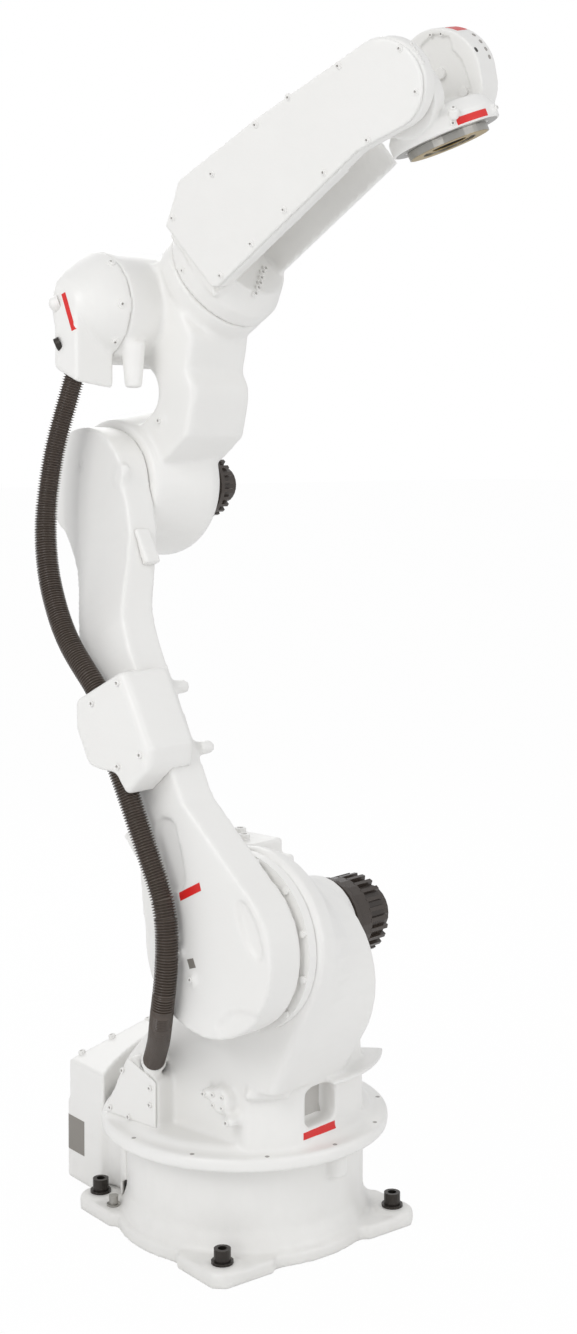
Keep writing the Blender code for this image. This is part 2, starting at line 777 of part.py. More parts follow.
def build_connector_panel():
    """The panel on the box's rear, which is not seen, with its two round sockets."""
    across = BOX_NEAR_FACE - PANEL_MARGIN
    low = BOX_FOOT + PANEL_MARGIN
    high = BOX_LOWER_HEIGHT - PANEL_MARGIN
    outline = rounded_outline(-across, across, low, high, PANEL_CORNER)
    panel = plate("panel", outline, -BOX_REAR, -BOX_REAR + PANEL_THICK, "YZ")
    finish(panel, "connector_panel", base_frame, "paint")
    start = BOX_REAR + SEAT
    for name, across_share, up_share in SOCKET_PLACES_SHARES:
        at = (0, across * across_share, low + (high - low) * up_share)
        socket = turned(name, [
            (0, start + SOCKET_FLANGE_THICK), (SOCKET_RADIUS - SOCKET_WALL, start + SOCKET_FLANGE_THICK),
            (SOCKET_RADIUS - SOCKET_WALL, start + SOCKET_LENGTH), (SOCKET_RADIUS, start + SOCKET_LENGTH),
            (SOCKET_RADIUS, start + SOCKET_FLANGE_THICK), (SOCKET_FLANGE_RADIUS, start + SOCKET_FLANGE_THICK),
            (SOCKET_FLANGE_RADIUS, start), (0, start)], "-X", at, SMALL_SEGMENTS)
        finish(socket, name, base_frame, "steel")


# Swivel


def head_outlines():
    """The swivel column's outlines at its near face, its middle and its far face."""
    foot = FLANGE_UNDERSIDE + LAP
    right = [(COLUMN_FRONT, foot), (COLUMN_FRONT, COLUMN_SHELF)]
    left = spread(COLUMN_BACK_SHARES, 0, -COLUMN_BACK, 0, COLUMN_SHELF) + [(-COLUMN_BACK, foot)]
    near = right + arc((SHOULDER_FORWARD, SHOULDER_HEIGHT), HEAD_RADIUS, -25, 196, 20) + left
    middle = right + arc((BULGE_FORWARD, SHOULDER_HEIGHT - BULGE_DROP), BULGE_RADIUS, -35, 165, 18) + left
    front = COLUMN_FRONT - HEAD_EDGE
    boss = arc((MOTOR_FORWARD, SHOULDER_HEIGHT - MOTOR_DROP), MOTOR_BOSS_RADIUS, -20, 200, 16)
    far = [(front, foot), (front, COLUMN_SHELF)] + boss
    far += [(-COLUMN_BACK / 3, COLUMN_SHELF), (-COLUMN_BACK / 2, foot)]
    return near, middle, far


def build_column():
    near, middle, far = head_outlines()
    centre = (COLUMN_FRONT / 3, (COLUMN_SHELF + SHOULDER_HEIGHT) / 2)
    a, b, c = [resampled(outline, centre) for outline in (near, middle, far)]
    sections = [
        (-SHOULDER_FACE, resampled(near, centre, HEAD_EDGE)),
        (-SHOULDER_FACE + HEAD_EDGE / 3, resampled(near, centre, HEAD_EDGE / 3)),
        (-SHOULDER_FACE + HEAD_EDGE, a)]
    sections += [(-SHOULDER_FACE * level, mixed(a, b, share)) for level, share in NEAR_BLEND_SHARES]
    sections.append((0, b))
    sections += [(HEAD_FAR_FACE * level, mixed(b, c, share)) for level, share in FAR_BLEND_SHARES]
    sections += [(HEAD_FAR_FACE - HEAD_EDGE, c), (HEAD_FAR_FACE, resampled(far, centre, HEAD_EDGE))]
    return loft("column", sections)


def wiring_outline():
    return spread(WIRING_OUTLINE_SHARES, -WIRING_BACK, WIRING_SPAN, WIRING_FOOT, WIRING_SPAN)


def build_swivel():
    foot = FLANGE_UNDERSIDE
    top = foot + FLANGE_THICK
    flange = turned("flange", [
        (0, top + FLANGE_STEP_RISE), (FLANGE_STEP_RADIUS - FLANGE_STEP_RISE, top + FLANGE_STEP_RISE),
        (FLANGE_STEP_RADIUS, top), (FLANGE_RADIUS - LAP, top), (FLANGE_RADIUS, top - LAP),
        (FLANGE_RADIUS, foot), (0, foot)], steps=FINE_SEGMENTS)
    trim = turned("trim", [
        (COLUMN_FOOT_RADIUS, COLUMN_TRIM_TOP), (FLANGE_RADIUS * 2, COLUMN_TRIM_TOP),
        (FLANGE_RADIUS * 2, foot), (COLUMN_FOOT_RADIUS, foot), (COLUMN_FOOT_RADIUS, COLUMN_TRIM_TOP)],
        steps=FINE_SEGMENTS)
    column = cut(build_column(), trim)
    near = WIRING_NEAR - WIRING_PLATE_THICK - SEAT
    wiring = plate("wiring", wiring_outline(), -near, -near + WIRING_DEPTH)
    place = (LUG_FORWARD, 0, LUG_HEIGHT)
    lug = disc("lug", LUG_RADIUS, 0, LUG_REACH, "-Y", place, BOX_EDGE, MEDIUM_SEGMENTS)
    stop = plate("stop", stop_outline(), STOP_PLATE_TOP - STOP_PLATE_THICK, STOP_PLATE_TOP, "XY")
    swivel = joined(flange, column, wiring, lug, stop)
    left = -WINDOW_OUT - WINDOW_WIDTH / 2
    top = WINDOW_LOW + WINDOW_HEIGHT
    opening = rounded_outline(left, left + WINDOW_WIDTH, WINDOW_LOW, top, WINDOW_CORNER)
    window = plate("window", opening, COLUMN_FRONT - WINDOW_DEPTH, COLUMN_FRONT + FLANGE_RADIUS, "YZ")
    socket = hose_space(LOWER_HOSE_ROUTE[0], LOWER_HOSE_ROUTE[1], HOSE_SOCKET_DEPTH)
    swivel = cut(swivel, window, socket)
    finish(swivel, "swivel_casting", swivel_frame, "paint")


def stop_outline():
    """The sector of the stop plate that stands out under the head."""
    outer = arc((0, 0), STOP_PLATE_RADIUS, STOP_PLATE_START, STOP_PLATE_END, 8)
    inner = arc((0, 0), STOP_PLATE_INNER, STOP_PLATE_END, STOP_PLATE_START, 4)
    return outer + inner


def build_wiring_plate():
    floor = FLANGE_UNDERSIDE + FLANGE_THICK + FLANGE_STEP_RISE + SEAT
    outline = [(x, max(z, floor)) for x, z in wiring_outline()]
    cover = plate("plate", outline, -WIRING_NEAR, -WIRING_NEAR + WIRING_PLATE_THICK)
    finish(cover, "wiring_end_plate", swivel_frame, "paint")


def build_shoulder_reducer():
    at = (SHOULDER_FORWARD, 0, SHOULDER_HEIGHT)
    seat_radius = SHOULDER_RING_RADIUS - LAP
    ring = turned("ring", [
        (0, SHOULDER_SEAM - SEAM), (seat_radius, SHOULDER_SEAM - SEAM), (seat_radius, REDUCER_FACE),
        (REDUCER_RADIUS, REDUCER_FACE), (REDUCER_RADIUS, SHOULDER_FACE + SEAT), (0, SHOULDER_FACE + SEAT)],
        "-Y", at)
    for i in range(REDUCER_BOLTS):
        angle = 2 * math.pi * (i + 0.5) / REDUCER_BOLTS
        place = (SHOULDER_FORWARD + REDUCER_BOLT_CIRCLE * math.cos(angle), 0,
                 SHOULDER_HEIGHT + REDUCER_BOLT_CIRCLE * math.sin(angle))
        bolt = disc("bolt", REDUCER_BOLT_RADIUS, REDUCER_FACE - LAP, REDUCER_FACE + REDUCER_BOLT_HEIGHT,
                    "-Y", place, steps=BOLT_SEGMENTS)
        ring = joined(ring, bolt)
    finish(ring, "shoulder_reducer", swivel_frame, "paint")


def finned_outline(radius):
    """The outline across a motor's fins."""
    root = radius - FIN_DEPTH
    outline = []
    for i in range(MOTOR_FINS):
        for reach, share in zip((root, root, radius, radius), FIN_OUTLINE_SHARES):
            angle = 2 * math.pi * (i + share) / MOTOR_FINS
            outline.append((reach * math.cos(angle), reach * math.sin(angle)))
    return outline


def build_motor(name, parent, matrix, sizes):
    """A motor that stands on +Z: a body on its flange, and a cap as a piece of its own."""
    radius, band_length, fin_length, cap_radius, cap_length = sizes
    fin_top = band_length + fin_length
    lip = radius + MOTOR_FLANGE_LIP
    flange = disc("flange", lip, 0, MOTOR_FLANGE_THICK, edge=LAP / 2, steps=MEDIUM_SEGMENTS)
    band = disc("band", radius, MOTOR_FLANGE_THICK - LAP, band_length, steps=MEDIUM_SEGMENTS)
    fins = plate("fins", finned_outline(radius), band_length - LAP / 2, fin_top, "XY")
    finish(placed(joined(fins, band, flange), matrix), name, parent, "black")
    start = fin_top + SEAT
    top = start + cap_length
    chamfer = cap_radius * CAP_CHAMFER_SHARE
    cap = turned("cap", [
        (0, top), (cap_radius - chamfer, top), (cap_radius, top - chamfer), (cap_radius, start), (0, start)],
        steps=MEDIUM_SEGMENTS)
    finish(placed(cap, matrix), name + "_cap", parent, "black")


def build_shoulder_motor():
    place = (MOTOR_FORWARD, HEAD_FAR_FACE + SEAT, SHOULDER_HEIGHT - MOTOR_DROP)
    build_motor("shoulder_motor", swivel_frame, Matrix.Translation(place) @ aim("Y"), SHOULDER_MOTOR)


def build_swivel_motor():
    """The upright motor that turns the swivel, on the flange behind the column."""
    foot = FLANGE_UNDERSIDE + FLANGE_THICK + FLANGE_STEP_RISE + SEAT
    place = (-SWIVEL_MOTOR_BACK, SWIVEL_MOTOR_OUT, foot)
    build_motor("swivel_motor", swivel_frame, Matrix.Translation(place), SWIVEL_MOTOR)


def build_stop_block():
    foot = SHOULDER_HEIGHT + STOP_BLOCK_FOOT_RISE
    step = SHOULDER_HEIGHT + STOP_BLOCK_STEP_RISE
    top = SHOULDER_HEIGHT + STOP_BLOCK_RISE
    outline = [
        (STOP_BLOCK_BACK, foot), (STOP_BLOCK_STEP, foot), (STOP_BLOCK_STEP, step),
        (STOP_BLOCK_FRONT, step), (STOP_BLOCK_FRONT, top), (STOP_BLOCK_BACK, top)]
    block = plate("block", outline, -STOP_BLOCK_NEAR, -STOP_BLOCK_FAR, edge=STOP_EDGE, segments=1)
    head = placed(build_column(), Matrix.Translation((0, 0, SEAT * 2)))
    finish(cut(block, head), "stop_block", swivel_frame, "paint")


# Lower arm


def arm_solid(name, grow=0):
    """The lower arm's bar, grown all round where it is the space in another piece."""
    half = WAIST_HALF_WIDTH + grow
    waist_top = LOWER_ARM_LENGTH - WAIST_DROP
    outline = arc((0, 0), SHOULDER_DISC_RADIUS + grow, 150, 390, 28)
    outline += [(half, WAIST_FOOT), (half, waist_top)]
    outline += arc((0, LOWER_ARM_LENGTH), ELBOW_DISC_RADIUS + grow, -30, 210, 24)
    outline += [(-half, waist_top), (-half, WAIST_FOOT)]
    arm = plate(name, outline, -LOWER_ARM_THICK - grow, grow)
    work = bmesh.new()
    work.from_mesh(arm.data)
    for share in JOG_SHARES:
        level = LOWER_ARM_LENGTH - JOG_FOOT_DROP + share * (JOG_FOOT_DROP - JOG_TOP_DROP)
        geometry = work.verts[:] + work.edges[:] + work.faces[:]
        bmesh.ops.bisect_plane(work, geom=geometry, plane_co=(0, 0, level), plane_no=(0, 0, 1))
    for vert in work.verts:
        jog = jog_share(vert.co.z)
        if vert.co.y < -LOWER_ARM_THICK / 2:
            vert.co.y += (LOWER_ARM_THICK - ELBOW_END_THICK) * jog
        vert.co.y -= SHOULDER_SEAM + (ELBOW_SEAM - SHOULDER_SEAM) * jog
    work.to_mesh(arm.data)
    work.free()
    return arm


def jog_share(level):
    """How much of its sideways jog the arm has made at a level."""
    rise = level - LOWER_ARM_LENGTH + JOG_FOOT_DROP
    share = min(max(rise / (JOG_FOOT_DROP - JOG_TOP_DROP), 0), 1)
    return share * share * (3 - 2 * share)


def build_lower_arm():
    arm = rounded(arm_solid("arm"), ARM_EDGE, 3, 50)
    face = SHOULDER_SEAM + LOWER_ARM_THICK
    half = POCKET_WIDTH / 2
    outline = rounded_outline(-half, half, POCKET_FOOT, POCKET_TOP, POCKET_CORNER)
    pocket = plate("pocket", outline, -face - OVERRUN, -face + POCKET_DEPTH)
    lean = Matrix.Rotation(math.radians(-POCKET_LEAN), 4, "Y")
    arm = cut(arm, placed(pocket, Matrix.Translation((-POCKET_BACK, 0, 0)) @ lean))
    finish(arm, "lower_arm_casting", lower_frame, "paint")


def build_stop_bar():
    low = LOWER_ARM_LENGTH - STOP_BAR_DROP
    bar = box("bar", (WAIST_HALF_WIDTH, -STOP_BAR_NEAR, low),
              (WAIST_HALF_WIDTH + STOP_BAR_WIDTH, -STOP_BAR_FAR, low + STOP_BAR_LENGTH), STOP_EDGE)
    bar = cut(bar, arm_solid("arm_space", SEAT))
    finish(bar, "elbow_stop_bar", lower_frame, "paint")


def build_clamp_cover():
    outline = spread(HOOD_OUTLINE_SHARES, -HOOD_BACK, HOOD_SPAN, HOOD_FOOT, HOOD_RISE)
    hood = plate("hood", outline, -HOOD_FACE, -HOOD_SKIRT, edge=HOOD_EDGE)
    hood = cut(hood, arm_solid("arm_space", SEAT))
    upper = hose_space(UPPER_HOSE_ROUTE[0], UPPER_HOSE_ROUTE[1], HOOD_SOCKET_DEPTH)
    end, inner = [seen_from(lower_frame, point) for point in (LOWER_HOSE_ROUTE[-1], LOWER_HOSE_ROUTE[-2])]
    lower = hose_space(end, inner, HOOD_SOCKET_DEPTH)
    hood = cut(hood, upper, lower)
    finish(hood, "hose_clamp_cover", lower_frame, "paint")


def seen_from(frame, point):
    """A point of the frame's parent, in the frame itself."""
    return frame.matrix_local.inverted() @ Vector(point)


# Elbow


def build_elbow():
    near = ELBOW_SEAM - SEAM
    far = -ELBOW_FAR_FACE
    rim = arc((ELBOW_DRUM_RADIUS - ELBOW_DRUM_EDGE, far + ELBOW_DRUM_EDGE), ELBOW_DRUM_EDGE, 0, -90, 4)
    drum = turned("drum", [
        (0, near), (ELBOW_DRUM_NEAR_RADIUS - LAP, near),
        (ELBOW_DRUM_NEAR_RADIUS, near - LAP)] + rim + [(0, far)], "-Y")
    at = (CABLE_DRUM_FORWARD, 0, ELBOW_RISE + CABLE_DRUM_RISE)
    cross = disc("cross", CABLE_DRUM_RADIUS, -CABLE_DRUM_FAR_FACE, CABLE_SEAM, "-Y", at)
    notch = arc((NOTCH_FORWARD, NOTCH_HEIGHT), NOTCH_RADIUS, 90, -90, 8)
    outline = [(NOTCH_FORWARD, ELBOW_RISE + CABLE_DRUM_RISE)] + notch
    outline += spread(NECK_BACK_SHARES + NECK_FRONT_SHARES, NECK_BACK, NECK_FRONT - NECK_BACK, 0, ELBOW_RISE)
    body = plate("body", outline, -NECK_NEAR_FACE, ELBOW_FAR_FACE + SEAT, edge=NECK_EDGE, segments=3)
    collar = ROLL_SEAM - SEAM
    neck = turned("neck", [
        (0, collar), (ROLL_RADIUS, collar), (ROLL_RADIUS, collar - ROLL_COLLAR),
        (ROLL_NECK_RADIUS, collar - ROLL_COLLAR - LAP), (ROLL_NECK_RADIUS, collar - ROLL_NECK_LENGTH),
        (0, collar - ROLL_NECK_LENGTH)], "X", (0, 0, ELBOW_RISE))
    top = Vector((HANGER_FORWARD, -HANGER_OUT, HANGER_TOP))
    climb = math.radians(FOREARM_CLIMB)
    down = Vector((-math.sin(climb), 0, -math.cos(climb)))
    hanger = turned("hanger", [
        (0, HANGER_LENGTH), (HANGER_TIP_RADIUS, HANGER_LENGTH), (HANGER_RADIUS, 0), (0, 0)],
        steps=SMALL_SEGMENTS)
    hanger = placed(hanger, along(top, top + down))
    elbow = joined(body, drum, cross, neck, hanger)
    finish(elbow, "elbow_housing", elbow_frame, "paint")


def cover_section(back, front, height):
    """A round section of the cover whose front half is wider than its back half."""
    outline = []
    for across, up in arc((0, 0), CABLE_DRUM_RADIUS, 0, 360, LOFT_SEGMENTS)[:-1]:
        outline.append((across * (front if across > 0 else back), up * height))
    return outline


def build_cable_cover():
    start = CABLE_SEAM + SEAT
    sections = [(-start - COVER_REACH * reach, cover_section(back, front, height))
                for reach, back, front, height in COVER_SECTION_SHARES]
    cover = loft("cover", sections)
    outline = [
        (-MOUTH_BACK, 0), (-MOUTH_BACK, -MOUTH_BACK_DROP), (MOUTH_FRONT, -MOUTH_FRONT_DROP), (MOUTH_FRONT, 0)]
    face = start + COVER_REACH + SEAT
    mouth = plate("mouth", outline, -face, -start - SEAT, edge=MOUTH_EDGE)
    for vert in mouth.data.vertices:
        if vert.co.z < -MOUTH_BACK_DROP / 2:
            vert.co.z -= (vert.co.y + face) * MOUTH_SLOPE_SHARE
    climb = Matrix.Rotation(math.radians(FOREARM_CLIMB), 4, "Y")
    place = Matrix.Translation((CABLE_DRUM_FORWARD, 0, ELBOW_RISE + CABLE_DRUM_RISE)) @ climb
    cover = placed(joined(cover, mouth), place)
    end, inner = [seen_from(elbow_frame, point) for point in (UPPER_HOSE_ROUTE[-1], UPPER_HOSE_ROUTE[-2])]
    cover = cut(cover, hose_space(end, inner, MOUTH_SOCKET_DEPTH))
    finish(cover, "cable_cover", elbow_frame, "paint")


def build_elbow_motor():
    place = (ELBOW_MOTOR_FORWARD, ELBOW_FAR_FACE + 2 * SEAT, -ELBOW_MOTOR_DROP)
    build_motor("elbow_motor", elbow_frame, Matrix.Translation(place) @ aim("Y"), ELBOW_MOTOR)


# Forearm


def build_forearm():
    root = turned("root", [
        (0, ROLL_SEAM + ROOT_REACH), (ROOT_FACE_RADIUS, ROLL_SEAM + ROOT_REACH),
        (ROLL_RADIUS, ROLL_SEAM + ROOT_REACH - ROOT_RIM), (ROLL_RADIUS, ROLL_SEAM), (0, ROLL_SEAM)], "X")
    inner = -BELT_ARM_FACE + BELT_ARM_THICK
    wall = inner + TROUGH_WALL
    far = TROUGH_FAR_FACE
    inside = far - TROUGH_WALL
    bend = TROUGH_SHOULDER - TROUGH_CORNER
    trough = plate("trough", [
        (inner - OVERRUN, -TROUGH_LIP), (wall, -TROUGH_LIP), (wall, bend),
        (wall + TROUGH_CORNER, TROUGH_SHOULDER), (inside - TROUGH_CORNER, TROUGH_SHOULDER),
        (inside, bend), (inside, -TROUGH_RAIL), (far, -TROUGH_RAIL),
        (far, TROUGH_EAVES), (inside - LAP, TROUGH_CROWN), (inner - OVERRUN, TROUGH_CROWN)],
        TROUGH_START, FOREARM_LENGTH - TROUGH_SHORT, "YZ")
    arm = plate("arm", belt_outline(0), -BELT_ARM_FACE, inner, edge=BELT_ARM_EDGE)
    forearm = joined(root, trough, arm)
    finish(forearm, "forearm_casting", forearm_frame, "paint")


def belt_outline(inset):
    """The outline of the belt side: square at the root, round at the wrist."""
    underside = -BELT_ARM_UNDERSIDE + inset
    outline = [(BELT_ARM_ROOT + inset, underside), (FOREARM_LENGTH * BELT_UNDERSIDE_SHARE, underside)]
    outline += arc((FOREARM_LENGTH, 0), WRIST_ROUND - inset, -110, 78, 18)
    outline += spread(BELT_TOP_SHARES, 0, FOREARM_LENGTH, -inset, BELT_CROWN)
    return outline


def build_belt_cover():
    cover = plate("cover", belt_outline(BELT_COVER_EDGE), -BELT_ARM_FACE - SEAT - BELT_COVER_THICK,
                  -BELT_ARM_FACE - SEAT, edge=BELT_COVER_EDGE)
    finish(cover, "belt_cover", forearm_frame, "paint")


# Wrist


def build_wrist():
    near = BELT_ARM_FACE - BELT_ARM_THICK - SEAM
    reach = TOOL_REACH - TOOL_PLATE_THICK
    housing = turned("housing", [
        (0, reach), (TOOL_RADIUS, reach), (TOOL_RADIUS, HOUSING_SHOULDER), (HOUSING_NECK_RADIUS, HOUSING_FOOT),
        (0, HOUSING_FOOT)], "X")
    cheek = wrapped([(0, 0, CHEEK_RADIUS), (HOUSING_FOOT / 2, 0, CHEEK_ROOT_RADIUS)])
    near_cheek = plate("near_cheek", cheek, -near, -CHEEK_FACE, edge=LAP)
    dome = wrapped([(0, 0, DOME_RADIUS), (HOUSING_FOOT / 3, 0, DOME_RADIUS - LAP)])
    far_cheek = plate("far_cheek", dome, DOME_SIDE, DOME_FACE - DOME_CAP_THICK - SEAT, edge=LAP)
    wrist = joined(housing, near_cheek, far_cheek)
    finish(wrist, "wrist_casting", wrist_frame, "paint")


def build_dome_cap():
    cap = disc("cap", DOME_CAP_RADIUS, DOME_FACE - DOME_CAP_THICK, DOME_FACE, "Y", edge=DOME_CAP_THICK / 2)
    finish(cap, "wrist_dome_cover", wrist_frame, "paint")


def build_tool_flange():
    top = TOOL_REACH - TOOL_PLATE_THICK + SEAM
    inside = HUB_RADIUS + SEAT
    ring = turned("ring", [
        (inside, TOOL_REACH), (TOOL_PLATE_RADIUS, TOOL_REACH), (TOOL_PLATE_RADIUS, top), (inside, top),
        (inside, TOOL_REACH)], "X")
    finish(ring, "tool_flange", tool_frame, "brass")
    face = TOOL_REACH - HUB_SINK
    hub = turned("hub", [
        (HUB_BORE, face), (HUB_RADIUS, face), (HUB_RADIUS, top), (HUB_BORE, top), (HUB_BORE, face)], "X")
    finish(hub, "tool_flange_hub", tool_frame, "brass")


clear_scene()
robot = new_collection("robot_arm")

base_frame = add_empty("base_frame", None, (0, 0, 0), "Z", 0)
swivel_frame = add_empty("swivel_axis", base_frame, (0, 0, 0), "Z", SWIVEL_TURN)
lower_frame = add_empty("lower_arm_axis", swivel_frame, (SHOULDER_FORWARD, 0, SHOULDER_HEIGHT), "Y",
                        -LOWER_ARM_LEAN)
elbow_frame = add_empty("elbow_axis", lower_frame, (0, 0, LOWER_ARM_LENGTH), "Y", LOWER_ARM_LEAN - FOREARM_CLIMB)
forearm_frame = add_empty("forearm_axis", elbow_frame, (0, 0, ELBOW_RISE), "X", FOREARM_ROLL)
wrist_frame = add_empty("wrist_axis", forearm_frame, (FOREARM_LENGTH, 0, 0), "Y", WRIST_BEND)
tool_frame = add_empty("tool_axis", wrist_frame, (0, 0, 0), "X", 0)

build_base()
build_anchor_bolts()
build_earth_bolt()
build_connector_box()
build_connector_panel()
build_swivel()
build_wiring_plate()
build_shoulder_reducer()
build_shoulder_motor()
build_swivel_motor()
build_stop_block()
build_hose("hose_lower", LOWER_HOSE_ROUTE, swivel_frame)
build_lower_arm()
build_stop_bar()
build_clamp_cover()
build_hose("hose_upper", UPPER_HOSE_ROUTE, lower_frame)
build_elbow()
build_cable_cover()
build_elbow_motor()
build_forearm()
build_belt_cover()
build_wrist()
build_dome_cap()
build_tool_flange()
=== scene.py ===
# %% [markdown]
# # A six-axis robot arm, dressed for a portrait
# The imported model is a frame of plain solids, each riding on the body that
# moves it. This lesson gives those solids the skin of painted castings, and
# adds what a fitter would: ribbed hoses, screws, flange rings, strips and
# plates. Everything is in metres, in the same frame as the solids.

# %% Load the frame
import json
import math

import bmesh
import bpy
from mathutils import Matrix, Vector
from mathutils.bvhtree import BVHTree
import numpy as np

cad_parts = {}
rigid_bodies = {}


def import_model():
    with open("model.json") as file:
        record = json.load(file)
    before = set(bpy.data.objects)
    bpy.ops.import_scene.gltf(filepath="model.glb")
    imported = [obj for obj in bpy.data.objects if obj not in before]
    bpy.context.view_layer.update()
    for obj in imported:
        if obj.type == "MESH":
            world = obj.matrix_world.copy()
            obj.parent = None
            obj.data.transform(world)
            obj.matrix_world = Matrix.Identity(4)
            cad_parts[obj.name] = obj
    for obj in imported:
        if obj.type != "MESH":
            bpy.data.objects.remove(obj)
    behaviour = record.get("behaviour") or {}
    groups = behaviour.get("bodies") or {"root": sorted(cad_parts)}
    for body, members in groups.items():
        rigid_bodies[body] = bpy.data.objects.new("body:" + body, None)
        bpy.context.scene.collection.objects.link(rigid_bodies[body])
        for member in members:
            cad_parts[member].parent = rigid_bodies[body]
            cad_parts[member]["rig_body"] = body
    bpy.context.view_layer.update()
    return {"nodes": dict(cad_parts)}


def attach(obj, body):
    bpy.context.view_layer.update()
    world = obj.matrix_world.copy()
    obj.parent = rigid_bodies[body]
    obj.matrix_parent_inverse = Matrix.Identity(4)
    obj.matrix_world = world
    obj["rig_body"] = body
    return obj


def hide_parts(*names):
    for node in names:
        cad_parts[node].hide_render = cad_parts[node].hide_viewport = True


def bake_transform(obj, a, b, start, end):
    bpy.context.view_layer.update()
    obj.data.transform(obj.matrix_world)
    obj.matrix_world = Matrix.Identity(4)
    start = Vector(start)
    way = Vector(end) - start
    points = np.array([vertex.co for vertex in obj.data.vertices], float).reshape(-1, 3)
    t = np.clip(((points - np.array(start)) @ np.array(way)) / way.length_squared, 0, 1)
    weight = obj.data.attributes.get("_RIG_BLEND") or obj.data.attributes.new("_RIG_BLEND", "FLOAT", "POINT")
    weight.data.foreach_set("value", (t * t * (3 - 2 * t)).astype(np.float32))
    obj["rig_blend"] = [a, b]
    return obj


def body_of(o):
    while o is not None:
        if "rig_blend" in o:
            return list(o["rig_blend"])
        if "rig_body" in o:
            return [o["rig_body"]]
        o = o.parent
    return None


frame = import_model()
NODES = frame["nodes"]

# %% [markdown]
# The camera looks at the arm from its front corner: a little over a metre
# above the floor, three metres away, with the lens shifted so that the tall
# arm fills a tall frame without leaning.

# %% Camera
CAMERA_PLACE = Vector((2.386, -1.785, 1.252))
CAMERA_TURN = 51.85
CAMERA_PITCH = 1.58
LENS = 50.31
SENSOR_HEIGHT = 36
LENS_SHIFT_Y = -0.1323


def add_camera():
    data = bpy.data.cameras.new("portrait")
    data.sensor_fit = "VERTICAL"
    data.sensor_height = SENSOR_HEIGHT
    data.lens = LENS
    data.shift_y = LENS_SHIFT_Y
    camera = bpy.data.objects.new("portrait", data)
    turn = math.radians(CAMERA_TURN)
    right = Vector((math.cos(turn), math.sin(turn), 0))
    ahead = Vector((-right.y, right.x, -math.tan(math.radians(CAMERA_PITCH)))).normalized()
    basis = Matrix((right, right.cross(ahead), -ahead)).transposed().to_4x4()
    camera.matrix_world = Matrix.Translation(CAMERA_PLACE) @ basis
    bpy.context.scene.collection.objects.link(camera)
    bpy.context.scene.camera = camera


add_camera()
print("camera at", tuple(CAMERA_PLACE))

# %% [markdown]
# A white arm on a white ground needs light that is almost even. The world
# gives a soft level from all round and looks white to the camera, and three
# broad lamps make one side of each form a little brighter than the other. A
# tall narrow lamp draws the bright streak down the castings and the hoses.

# %% Light and floor
WORLD_LEVEL = 0.72
SKY_TINT = (0.98, 0.985, 1.0, 1)
WHITE = (1, 1, 1, 1)
# For each lamp: its place, what it looks at, its width and height, its watts
LAMPS = {
    "key": ((1.2, -3.4, 3.2), (0.0, 0.0, 0.9), (1.8, 1.8), 42),
    "fill": ((3.6, 1.6, 1.8), (0.0, 0.0, 0.9), (2.4, 2.4), 26),
    "rim": ((-2.6, 1.2, 2.6), (0.0, 0.0, 1.0), (2.0, 2.0), 26),
    "streak": ((1.5, -3.0, 1.5), (0.1, -0.1, 1.0), (0.20, 2.4), 9),
}
FLOOR_HALF = 40.0
FLOOR_DROP = 0.0005
FLOOR_GREY = 0.88
FLOOR_ROUGHNESS = 0.9
FLOOR_GLOW = 0.97


def math_node(tree, operation, first, second):
    """One sum on two values, each a number or another node's output."""
    node = tree.nodes.new("ShaderNodeMath")
    node.operation = operation
    for slot, value in zip(node.inputs, (first, second)):
        if isinstance(value, (int, float)):
            slot.default_value = value
        else:
            tree.links.new(value, slot)
    return node.outputs[0]


def add_world():
    """Soft light all round, which the camera sees as plain white."""
    world = bpy.data.worlds.new("studio")
    world.use_nodes = True
    tree = world.node_tree
    tree.nodes.clear()
    light = tree.nodes.new("ShaderNodeBackground")
    light.inputs["Color"].default_value = SKY_TINT
    light.inputs["Strength"].default_value = WORLD_LEVEL
    white = tree.nodes.new("ShaderNodeBackground")
    white.inputs["Color"].default_value = WHITE
    white.inputs["Strength"].default_value = 1.0
    paths = tree.nodes.new("ShaderNodeLightPath").outputs
    seen = math_node(tree, "MAXIMUM", paths["Is Camera Ray"], paths["Is Transmission Ray"])
    mix = tree.nodes.new("ShaderNodeMixShader")
    tree.links.new(seen, mix.inputs["Fac"])
    tree.links.new(light.outputs[0], mix.inputs[1])
    tree.links.new(white.outputs[0], mix.inputs[2])
    out = tree.nodes.new("ShaderNodeOutputWorld")
    tree.links.new(mix.outputs[0], out.inputs["Surface"])
    bpy.context.scene.world = world


def add_lamp(name, place, target, size, power):
    data = bpy.data.lights.new(name, "AREA")
    data.shape = "RECTANGLE"
    data.size, data.size_y = size
    data.energy = power
    lamp = bpy.data.objects.new(name, data)
    lamp.location = place
    lamp.rotation_euler = (Vector(target) - Vector(place)).to_track_quat("-Z", "Y").to_euler()
    bpy.context.scene.collection.objects.link(lamp)


